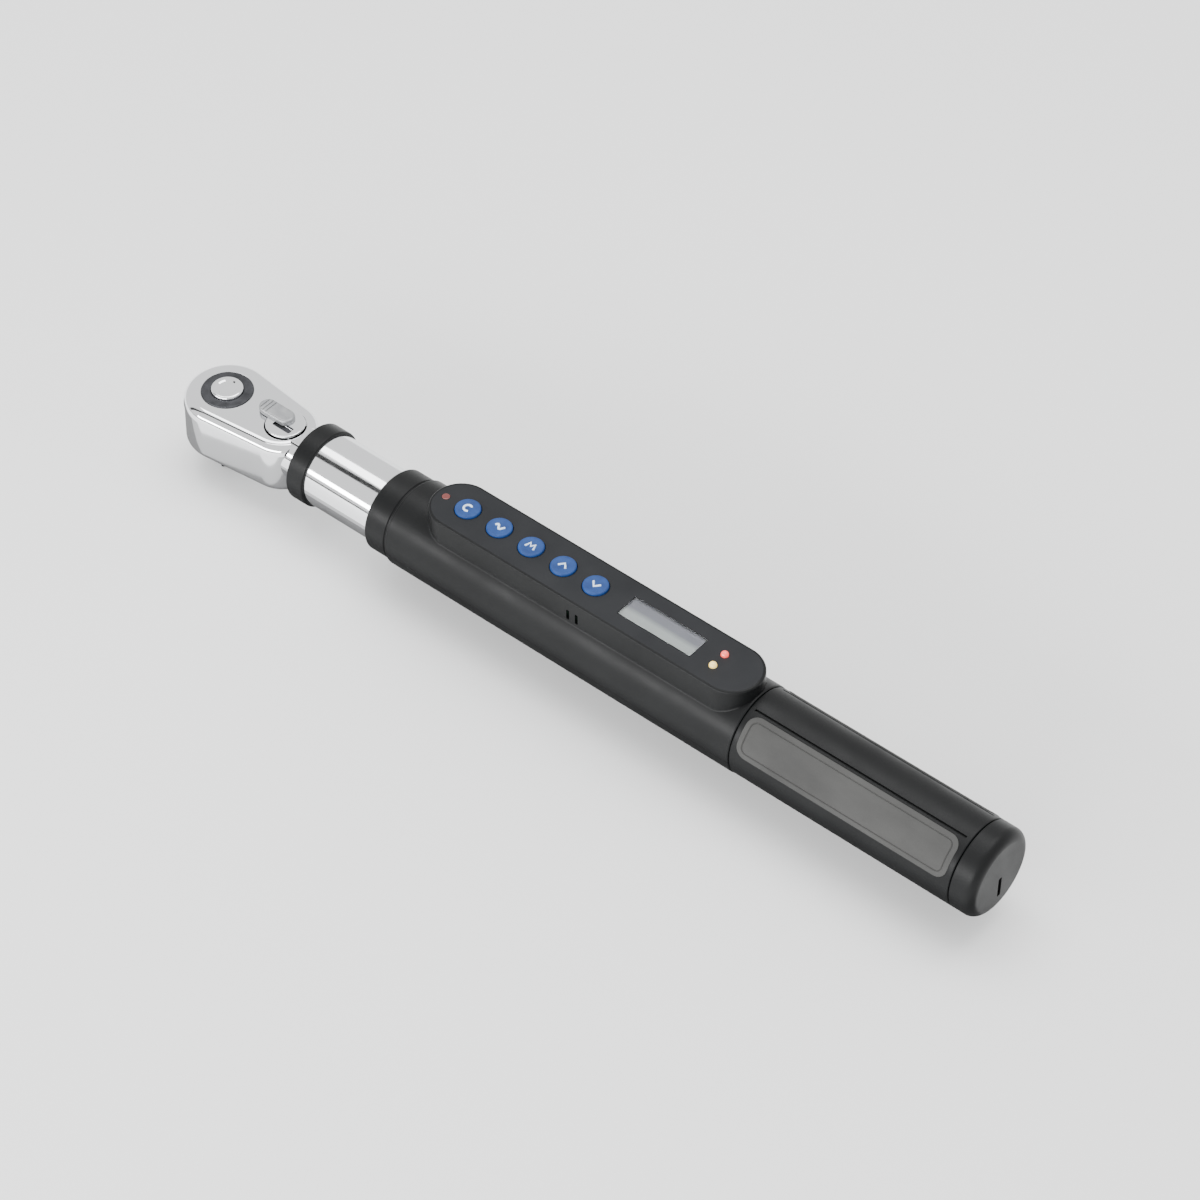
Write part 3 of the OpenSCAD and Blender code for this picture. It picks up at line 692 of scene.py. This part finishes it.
def lever_disc():
    """The lever's disc and shaft, with the slot beside the tab and the plunger's bore."""
    x = LEVER_X
    disc = turned([
        (0, SHAFT_FOOT), (SHAFT_R, SHAFT_FOOT), (SHAFT_R, LEVER_FLOOR), (LEVER_R, LEVER_FLOOR),
        (LEVER_R, LEVER_TOP), (0, LEVER_TOP),
    ], centre=(x, 0, 0))
    soften(disc, 0.5 * MM, 4, 40)
    lever = as_object(disc, "reverse_lever_disc")
    slot = block((x - 3.5 * MM, -3.6 * MM, SLOT_FLOOR), (x + 5 * MM, -0.4 * MM, LEVER_TOP + SPARE))
    soften(slot, 0.6 * MM, 3, 60)
    bore = rod(PLUNGER_BORE_R, -4 * MM, 1.5 * MM, "X", (x, 0, AXIS_Z - 3 * MM))
    combine(lever, [slot, bore], "DIFFERENCE")
    finish_piece(lever, "lever", "chrome", "reverse_lever")


def lever_tab():
    """The grey thumb tab with its three grip grooves."""
    outline = [(TAB_PLACE[0] + x, TAB_PLACE[1] + y) for x, y in stadium(0, TAB_LENGTH, TAB_R, 20)]
    tab = prism(outline, TAB_BOTTOM, TAB_TOP)
    soften(tab, 0.9 * MM, 5, 50, keep=above(TAB_TOP - EDGE_REACH))
    soften(tab, 0.3 * MM, 2, 50, keep=below(TAB_BOTTOM + EDGE_REACH))
    piece = as_object(tab, "reverse_lever_tab")
    grooves = []
    for i in range(3):
        x = TAB_PLACE[0] - 1.7 * MM + i * GROOVE_PITCH
        low = (x, -3 * MM, TAB_TOP - 0.35 * MM)
        high = (x + GROOVE_WIDTH, 7 * MM, TAB_TOP + 1.4 * MM)
        grooves.append(block(low, high))
    combine(piece, grooves, "DIFFERENCE")
    finish_piece(piece, "lever", "grey_lever")


def lever_slot_painted_shade():
    """A dark plate on the floor of the lever's slot: painted shade for the shadow in its recess."""
    low = (LEVER_X - 3 * MM, -3.2 * MM, SLOT_FLOOR)
    high = (LEVER_X + 4.5 * MM, -0.8 * MM, SLOT_FLOOR + 0.3 * MM)
    # painted shade: this dark plate stands in for the shadow on the slot's floor
    finish_piece(as_object(block(low, high), "reverse_lever_slot_painted_shade"), "lever", "black_steel")


# ---- Neck and tube ----

NECK_HOLE_R = 10.85 * MM
TUBE_WALL = 1.5 * MM
RING_CHAMFER = 0.8 * MM
RING_STEP = 0.5 * MM
SPIGOT_INSET = 2.25 * MM


def neck_collar():
    """The black collar, bored for the neck in front and for the tube behind."""
    x0, x1 = COLLAR_LOW[0], COLLAR_HIGH[0]
    outer = (COLLAR_HIGH[1] - COLLAR_LOW[1]) / 2
    bore = TUBE_R + SEAT_GAP
    collar = turned([
        (NECK_HOLE_R, x0), (outer, x0), (outer, x1), (bore, x1),
        (bore, TUBE_LOW[0]), (NECK_HOLE_R, TUBE_LOW[0]),
    ], "X", ON_AXIS)
    soften(collar, 0.7 * MM, 4, 40, keep=lambda p: math.hypot(p.y, p.z - AXIS_Z) > outer - EDGE_REACH)
    finish_piece(as_object(collar, "neck_collar_ring"), "tool", "black_plastic", "neck_collar")


def chromed_tube():
    """The plain tube between the neck and the housing."""
    x0, x1 = TUBE_LOW[0], TUBE_HIGH[0]
    inner = TUBE_R - TUBE_WALL
    tube = turned([(inner, x0), (TUBE_R, x0), (TUBE_R, x1), (inner, x1)], "X", ON_AXIS)
    soften(tube, 0.2 * MM, 2, 40)
    finish_piece(as_object(tube, "chromed_tube"), "tool", "chrome", "main_tube")


def front_ring():
    """The housing's front band, with a groove before the shells and a spigot inside them."""
    x0, x1, shell_x = RING_LOW[0], RING_HIGH[0], SHELL_LOW[0]
    outer = (RING_HIGH[1] - RING_LOW[1]) / 2
    inner = TUBE_R + SEAT_GAP
    spigot = SHELL_R - SPIGOT_INSET
    ring = turned([
        (inner, x0), (outer - RING_CHAMFER, x0), (outer, x0 + RING_CHAMFER), (outer, shell_x - 1.4 * MM),
        (outer - RING_STEP, shell_x - 1.1 * MM), (outer - RING_STEP, shell_x), (spigot, shell_x),
        (spigot, x1), (inner, x1),
    ], "X", ON_AXIS)
    soften(ring, 0.25 * MM, 3, 25)
    finish_piece(as_object(ring, "front_ring_band"), "tool", "black_plastic", "front_ring")


# ---- Housing ----

SPLIT_Z = SHELL_LOW[2]
CONSOLE_TOP = SHELL_HIGH[2]
SEAM = 0.12 * MM
SLOT_HALF_WIDTH = 0.65 * MM
SLOT_OFFSET = 2 * MM
SLOT_LOW, SLOT_HIGH = AXIS_Z + 13.9 * MM, AXIS_Z + 18.5 * MM
SCREW_HEAD_R = 2 * MM
WELL_R = 2.2 * MM
WELL_ROOF = SPLIT_Z - 4 * MM


def sound_slots():
    """The two upright slots in the console's near wall, beside the last key."""
    middle = middle_of("key_5")[0] - 1 * MM
    slots = []
    for x in (middle - SLOT_OFFSET, middle + SLOT_OFFSET):
        low = (x - SLOT_HALF_WIDTH, -16 * MM, SLOT_LOW)
        high = (x + SLOT_HALF_WIDTH, -8 * MM, SLOT_HIGH)
        slots.append(soften(block(low, high), 0.4 * MM, 2, 60))
    return slots


def housing_form():
    """Both shells in one, hollow, before they are parted."""
    x0, x1 = SHELL_LOW[0], SHELL_HIGH[0]
    barrel = soften(rod(SHELL_R, x0, x1, "X", ON_AXIS), 0.6 * MM, 3, 40)
    console = prism(stadium(CONSOLE_X0, CONSOLE_X1, CONSOLE_R), AXIS_Z, CONSOLE_TOP)
    form = combine(as_object(barrel, "housing_form"), [console], "UNION")
    hollow = rod(SHELL_R - SHELL_WALL, x0 - SPARE, x1 + SPARE, "X", ON_AXIS)
    cavity = prism(stadium(CONSOLE_X0, CONSOLE_X1, PANEL_R - 0.9 * MM), AXIS_Z, CONSOLE_TOP + SPARE)
    rebate = prism(stadium(CONSOLE_X0, CONSOLE_X1, PANEL_R + SEAT_GAP), PANEL_LOW[2], CONSOLE_TOP + 2 * MM)
    return combine(form, [hollow, cavity, rebate, *sound_slots(), under_flat(x0, x1)], "DIFFERENCE")


def screw_wells():
    """The counterbores of the housing's four screws."""
    wells = []
    for x in (SCREWS_LOW[0] + SCREW_HEAD_R, SCREWS_HIGH[0] - SCREW_HEAD_R):
        for y in (SCREWS_LOW[1] + SCREW_HEAD_R, SCREWS_HIGH[1] - SCREW_HEAD_R):
            wells.append(rod(WELL_R, -20 * MM, WELL_ROOF, centre=(x, y, 0), steps=48))
    return wells


def off_console_axis(p):
    """How far a point is, in plan, from the line between the console's end centres."""
    x = min(max(p.x, CONSOLE_X0), CONSOLE_X1)
    return math.hypot(p.x - x, p.y)


def at_console_rim(p):
    """True on the outer edge of the console's top."""
    return p.z > CONSOLE_TOP - 0.05 * MM and off_console_axis(p) >= PANEL_R + 0.4 * MM


def at_console_foot(p):
    """True where the console's wall meets the round body, short of the housing's rear edge."""
    on_wall = abs(off_console_axis(p) - CONSOLE_R) < 0.03 * MM
    on_body = abs(math.hypot(p.y, p.z - AXIS_Z) - SHELL_R) < 0.05 * MM
    return on_wall and on_body and p.x < CONSOLE_X1 + 9.5 * MM


def housing_shells():
    """Parts the housing along its seam and finishes each shell."""
    upper = housing_form()
    lower = linked(upper.data.copy(), "housing_lower_shell")
    upper.name = "housing_upper_shell"
    below_seam = block((0, -50 * MM, SPLIT_Z - 100 * MM), (400 * MM, 50 * MM, SPLIT_Z + SEAM))
    above_seam = block((0, -50 * MM, SPLIT_Z), (400 * MM, 50 * MM, SPLIT_Z + 100 * MM))
    combine(upper, [below_seam], "DIFFERENCE")
    combine(lower, [above_seam, *screw_wells()], "DIFFERENCE")
    soften_object(upper, 0.9 * MM, 4, 50, at_console_rim)
    soften_object(upper, 0.5 * MM, 3, 25, at_console_foot)
    finish_piece(upper, "tool", "black_plastic", "housing_upper")
    finish_piece(lower, "tool", "black_plastic", "housing_lower")


# ---- Console ----

PANEL_TOP = PANEL_HIGH[2]
KEY_NAMES = ["key_1", "key_2", "key_3", "key_4", "key_5"]
KEY_HOLE_R = 5.1 * MM
LIGHT_R = 1.5 * MM
KEY_R = 4.9 * MM
KEY_ROUND = 0.7 * MM
KEY_FLANGE_R = 5.3 * MM
KEY_FLANGE_DROP = 2.4 * MM
KEY_FLANGE_THICKNESS = 0.9 * MM
KEY_PIN_R = 1.5 * MM
MARK_SIZE = 3.1 * MM
MARK_WIDTH = 0.9 * MM


def console_panel():
    """The dark film with its holes for keys, lights, lens and window."""
    low, high = PANEL_LOW[2] - SPARE, PANEL_TOP + SPARE
    holes = [(name, KEY_HOLE_R) for name in KEY_NAMES]
    holes += [(name, LIGHT_R + SEAT_GAP) for name in ("red_light", "yellow_light", "front_lens")]
    tools = [rod(radius, low, high, centre=(*middle_of(name), 0), steps=64) for name, radius in holes]
    pane_low, pane_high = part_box("display_window")
    pane_hole = block(
        (pane_low[0] - SEAT_GAP, pane_low[1] - SEAT_GAP, low),
        (pane_high[0] + SEAT_GAP, pane_high[1] + SEAT_GAP, high),
    )
    tools.append(pane_hole)
    outline = stadium(CONSOLE_X0, CONSOLE_X1, PANEL_R)
    panel = as_object(prism(outline, PANEL_LOW[2], PANEL_TOP), "console_panel_film")
    combine(panel, tools, "DIFFERENCE")
    soften_object(panel, 0.22 * MM, 3, 50, above(PANEL_TOP - 0.02 * MM))
    finish_piece(panel, "tool", "panel_plastic", "console_panel")


def key_marks():
    """Generic marks in key-sized units: an open ring, a wave, a pair of peaks, up and down arrows."""
    ring = arc(0, 0, 0.5, 50, 310, 16)
    wave = [(x / 8 - 0.62, 0.3 * math.sin(x * 0.75)) for x in range(11)]
    peaks = [(-0.6, -0.4), (-0.35, 0.4), (0, -0.1), (0.35, 0.4), (0.6, -0.4)]
    up = [(-0.55, -0.3), (0, 0.35), (0.55, -0.3)]
    down = [(-0.55, 0.3), (0, -0.35), (0.55, 0.3)]
    return [ring, wave, peaks, up, down]


def key_profile(bottom, top):
    """Half section of a key: dished face, rounded edge, flange and switch pin."""
    flange = top - KEY_FLANGE_DROP
    foot = flange - KEY_FLANGE_THICKNESS
    rounding = arc(top - KEY_ROUND, KEY_R - KEY_ROUND, KEY_ROUND, 0, 90, 7)
    return [
        (0, top - 0.22 * MM), (2.4 * MM, top - 0.16 * MM), (3.7 * MM, top), *((r, h) for h, r in rounding),
        (KEY_R, flange), (KEY_FLANGE_R, flange), (KEY_FLANGE_R, foot), (KEY_PIN_R, foot), (KEY_PIN_R, bottom),
        (0, bottom),
    ]


def stroke(points, width, name):
    """A raised rounded line through the points, as a mesh."""
    curve = bpy.data.curves.new(name, "CURVE")
    curve.dimensions = "3D"
    curve.bevel_depth = width / 2
    curve.bevel_resolution = 3
    curve.use_fill_caps = True
    line = curve.splines.new("POLY")
    line.points.add(len(points) - 1)
    for point, place in zip(line.points, points):
        point.co = (*place, 1)
    holder = linked(curve, name)
    mesh = evaluated_mesh(holder)
    bpy.data.objects.remove(holder)
    return linked(mesh, name)


def keys():
    """Each key with the raised mark that rides on it."""
    for name, mark in zip(KEY_NAMES, key_marks()):
        low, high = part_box(name)
        x, y = middle_of(name)
        cap = as_object(turned(key_profile(low[2], high[2]), centre=(x, y, 0), steps=96), name + "_cap")
        finish_piece(cap, name, "blue_rubber", name, angle=40)
        mark_z = high[2] - 0.2 * MM
        points = [(x + px * MARK_SIZE, y + py * MARK_SIZE, mark_z) for px, py in mark]
        line = stroke(points, MARK_WIDTH, name + "_mark")
        finish_piece(line, name, "blue_rubber", look=GLYPH_WHITE, angle=60)


def display():
    """The window's pane and the display under it."""
    window = soften(block(*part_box("display_window")), 0.2 * MM, 3, 60)
    finish_piece(as_object(window, "display_window_pane"), "tool", "window", "display_window")
    module = soften(block(*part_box("display_module")), 0.3 * MM, 2, 60)
    finish_piece(as_object(module, "display_module_block"), "tool", "display_grey", "display_module")


def small_lights():
    """The two lights and the front lens, each a rod with a domed top."""
    slots = {"red_light": "red_lens", "yellow_light": "yellow_lens", "front_lens": "dull_red"}
    for name, slot in slots.items():
        low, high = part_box(name)
        rise = high[2] - PANEL_TOP
        angles = [math.pi * k / 20 for k in range(1, 10)]
        dome = [(LIGHT_R * math.cos(a), PANEL_TOP + rise * math.sin(a)) for a in angles]
        profile = [(0, low[2]), (LIGHT_R, low[2]), (LIGHT_R, PANEL_TOP), *dome, (0, high[2])]
        piece = as_object(turned(profile, centre=(*middle_of(name), 0), steps=48), name + "_dome")
        finish_piece(piece, "tool", slot, name, angle=40)


# ---- Grip ----

GRIP_BORE_R = 13.6 * MM
INSET_END = 78
INSET_GAP = 0.4
CORNER_R = 4.5 * MM
BEND_SLICES = 26
INSET_STEPS = ((0.3 * MM, 0.1 * MM), (1.5 * MM, 0.0), (0.35 * MM, -0.4 * MM), (0.35 * MM, 0.3 * MM))
GROOVE_BEFORE_INSET = 4.2
SLEEVE_REACH = 11.9 * MM


def inset_start(side):
    """Degrees off the top where an inset begins; the strip between them leans to the far side."""
    return 42 if side > 0 else 22


def bent_plate(x0, x1, start, end, corner, bottom, top, side, steps=()):
    """A rounded plate, with border steps, wrapped round the grip between two angles off the top."""
    y0, y1 = math.radians(start) * GRIP_R, math.radians(end) * GRIP_R
    outline = arc(x1 - corner, y0 + corner, corner, -90, 0, 10)
    outline += arc(x1 - corner, y1 - corner, corner, 0, 90, 10)
    outline += arc(x0 + corner, y1 - corner, corner, 90, 180, 10)
    outline += arc(x0 + corner, y0 + corner, corner, 180, 270, 10)
    bm = prism(outline, bottom, top)
    face = [f for f in bm.faces if f.calc_center_median().z > top - SEAT_GAP]
    for thickness, depth in steps:
        bmesh.ops.inset_region(bm, faces=face, thickness=thickness, depth=depth, use_even_offset=True)
    slice_across(bm, y0, y1)
    bend_onto_grip(bm, side)
    bmesh.ops.recalc_face_normals(bm, faces=bm.faces)
    return bm


def slice_across(bm, y0, y1):
    """Adds cuts to a flat plate so that it can bend."""
    for k in range(1, BEND_SLICES):
        y = y0 + (y1 - y0) * k / BEND_SLICES
        everything = bm.verts[:] + bm.edges[:] + bm.faces[:]
        bmesh.ops.bisect_plane(bm, geom=everything, dist=1e-7, plane_co=(0, y, 0), plane_no=(0, 1, 0))


def bend_onto_grip(bm, side):
    """Wraps a flat plate, x along the grip and y round it, onto the grip's circle."""
    for v in bm.verts:
        angle = v.co.y / GRIP_R
        r = GRIP_R + v.co.z
        v.co = Vector((v.co.x, side * r * math.sin(angle), AXIS_Z + r * math.cos(angle)))


def grip_insets():
    """The two soft grey insets, each with a fine border groove."""
    for side, node in ((-1, "grip_inset_near"), (1, "grip_inset_far")):
        pad = bent_plate(
            INSET_LOW[0], INSET_HIGH[0], inset_start(side) + INSET_GAP, INSET_END - INSET_GAP, CORNER_R,
            -1.3 * MM, 0.1 * MM, side, INSET_STEPS,
        )
        finish_piece(as_object(pad, node + "_pad"), "tool", "grey_rubber", node, angle=35)


def grip_groove(side):
    """The fine groove above an inset."""
    reach = 2 * MM
    low = (GRIP_LOW[0] + reach, -0.45 * MM, GRIP_R - 0.9 * MM)
    high = (GRIP_HIGH[0] - reach, 0.45 * MM, GRIP_R + SPARE)
    groove = block(low, high)
    turn_about(groove, "X", -side * (inset_start(side) - GROOVE_BEFORE_INSET))
    return shift(groove, ON_AXIS)


def grip_core():
    """The handle's shell with its insets' recesses and its grooves."""
    x0, x1 = GRIP_LOW[0], GRIP_HIGH[0]
    shell = turned([(GRIP_BORE_R, x0), (GRIP_R, x0), (GRIP_R, x1), (GRIP_BORE_R, x1)], "X", ON_AXIS)
    core = as_object(soften(shell, 0.5 * MM, 3, 40), "grip_core_shell")
    margin = 0.1 * MM
    tools = []
    for side in (-1, 1):
        tools.append(bent_plate(
            INSET_LOW[0] - margin, INSET_HIGH[0] + margin, inset_start(side), INSET_END, CORNER_R + margin,
            -1.35 * MM, 2 * MM, side,
        ))
        tools.append(grip_groove(side))
    tools.append(under_flat(x0, x1))
    tools.append(rod(SHELL_R - SHELL_WALL, x0 - SPARE, x0 + SLEEVE_REACH, "X", ON_AXIS))
    combine(core, tools, "DIFFERENCE")
    finish_piece(core, "tool", "black_plastic", "grip_core")


# ---- End cap ----

CAP_ROUND = 4 * MM
CAP_CHAMFER = 0.4 * MM
PLUG_R = 13.3 * MM
SEAL_GROOVE_R = 12.4 * MM
SEAL_GROOVE_X0 = CAP_LOW[0] + 3 * MM
SEAL_GROOVE_X1 = CAP_LOW[0] + 4.4 * MM
COIN_SLOT_HALF = 0.9 * MM
COIN_SLOT_DEPTH = 3 * MM


def end_cap():
    """The rounded cap with its plug, its seal's groove and the slot in its end."""
    front, rear = GRIP_HIGH[0] + 0.2 * MM, CAP_HIGH[0]
    rounding = arc(GRIP_R - CAP_ROUND, rear - CAP_ROUND, CAP_ROUND, 0, 90, 14)
    profile = [
        (0, CAP_LOW[0]), (PLUG_R, CAP_LOW[0]), (PLUG_R, front), (GRIP_R - CAP_CHAMFER, front),
        (GRIP_R, front + CAP_CHAMFER), *rounding, (0, rear),
    ]
    cap = as_object(turned(profile, "X", ON_AXIS), "end_cap_shell")
    groove = turned([
        (SEAL_GROOVE_R, SEAL_GROOVE_X0), (15 * MM, SEAL_GROOVE_X0),
        (15 * MM, SEAL_GROOVE_X1), (SEAL_GROOVE_R, SEAL_GROOVE_X1),
    ], "X", ON_AXIS)
    slot_low = (rear - COIN_SLOT_DEPTH, -COIN_SLOT_HALF, AXIS_Z - 10 * MM)
    slot_high = (rear + SPARE, COIN_SLOT_HALF, AXIS_Z - 1 * MM)
    slot = block(slot_low, slot_high)
    combine(cap, [groove, soften(slot, 0.3 * MM, 2, 60), under_flat(front, rear)], "DIFFERENCE")
    finish_piece(cap, "cap", "black_plastic", "end_cap")


# ---- Studio ----

FLOOR_Z = cad_box[0][2]


def pale_floor():
    """The pale ground under the tool."""
    bm = bmesh.new()
    bmesh.ops.create_grid(bm, x_segments=1, y_segments=1, size=4)
    floor = as_object(shift(bm, (0.17, 0, FLOOR_Z - 0.2 * MM)), "floor")
    material = plain("floor", (0.88, 0.885, 0.885), 0.6)
    mottle(material, 3, (0.87, 0.875, 0.875), (0.89, 0.895, 0.895))
    floor.data.materials.append(material)


def card(name, centre, size, facing, grey):
    """A studio card that only reflections see, its long side along the tool."""
    bm = bmesh.new()
    bmesh.ops.create_grid(bm, x_segments=1, y_segments=1, size=0.5)
    bmesh.ops.scale(bm, verts=bm.verts, vec=(size[0], size[1], 1))
    turn = Vector(facing).to_track_quat("Z", "Y").to_matrix()
    if abs(turn.col[0].x) < abs(turn.col[1].x):
        turn = turn @ Matrix.Rotation(math.radians(90), 3, "Z")
    bmesh.ops.rotate(bm, verts=bm.verts, cent=(0, 0, 0), matrix=turn)
    obj = as_object(shift(bm, centre), name)
    obj.data.materials.append(plain(name, (grey, grey, grey), 0.9))
    obj.visible_camera = False
    obj.visible_shadow = False
    obj.visible_diffuse = False


def soft_light(name, place, target, size, power):
    """A rectangular lamp aimed at a target."""
    lamp = bpy.data.lights.new(name, "AREA")
    lamp.shape = "RECTANGLE"
    lamp.size, lamp.size_y = size
    lamp.energy = power
    obj = linked(lamp, name)
    obj.location = place
    obj.rotation_euler = (Vector(target) - Vector(place)).to_track_quat("-Z", "Y").to_euler()


def white_room():
    """An even white world."""
    world = bpy.data.worlds.new("studio")
    bpy.context.scene.world = world
    world.use_nodes = True
    background = world.node_tree.nodes["Background"]
    background.inputs["Color"].default_value = (1, 1, 1, 1)
    background.inputs["Strength"].default_value = 1.25


def studio():
    """White surroundings, two soft lights, a pale floor, the cards that draw lines in the chrome, and two grey
    floor cards that paint the tool's shadow into the chrome's reflections.
    """
    white_room()
    middle = (0.17, 0, 0.01)
    soft_light("overhead", (0.05, 0.25, 1.3), middle, (1.6, 0.9), 20)
    soft_light("side_strip", (0.1, -1.2, 0.4), middle, (1.8, 0.25), 26)
    pale_floor()
    card("dark_line_above", (-0.45, -0.25, 0.86), (2.4, 0.17), (0.4, 0.25, -0.85), 0.01)
    card("dark_line_side", (-0.4, -1.1, 0.05), (2.4, 0.07), (0.3, 1, 0.02), 0.05)
    # painted shadow: two grey cards on the floor, seen only in reflections, stand in for the tool's shadow on the
    # floor along its near side
    card("floor_shade_wide", (0.15, -0.022, FLOOR_Z + 0.4 * MM), (0.5, 0.036), (0, 0, 1), 0.4)
    card("floor_shade_close", (0.15, -0.016, FLOOR_Z + 0.6 * MM), (0.5, 0.026), (0, 0, 1), 0.16)


def camera():
    """Looks down on the tool from beside the grip."""
    lens = bpy.data.cameras.new("camera")
    lens.lens = 121.5
    lens.sensor_width = 36
    obj = linked(lens, "camera")
    bpy.context.scene.camera = obj
    azimuth, elevation = math.radians(39.9), math.radians(46)
    distance = 1.476
    target = Vector((0.170, 0.0165, AXIS_Z - 4.8 * MM))
    level = math.cos(elevation)
    back = Vector((math.sin(azimuth) * level, -math.cos(azimuth) * level, math.sin(elevation)))
    obj.location = target + back * distance
    obj.rotation_euler = back.to_track_quat("Z", "Y").to_euler()


paint_cad_nodes()
ratchet_head()
gear_body()
gear_teeth()
square_drive()
release_button()
lever_disc()
lever_tab()
lever_slot_painted_shade()
neck_collar()
chromed_tube()
front_ring()
housing_shells()
console_panel()
keys()
display()
small_lights()
grip_insets()
grip_core()
end_cap()
studio()
camera()
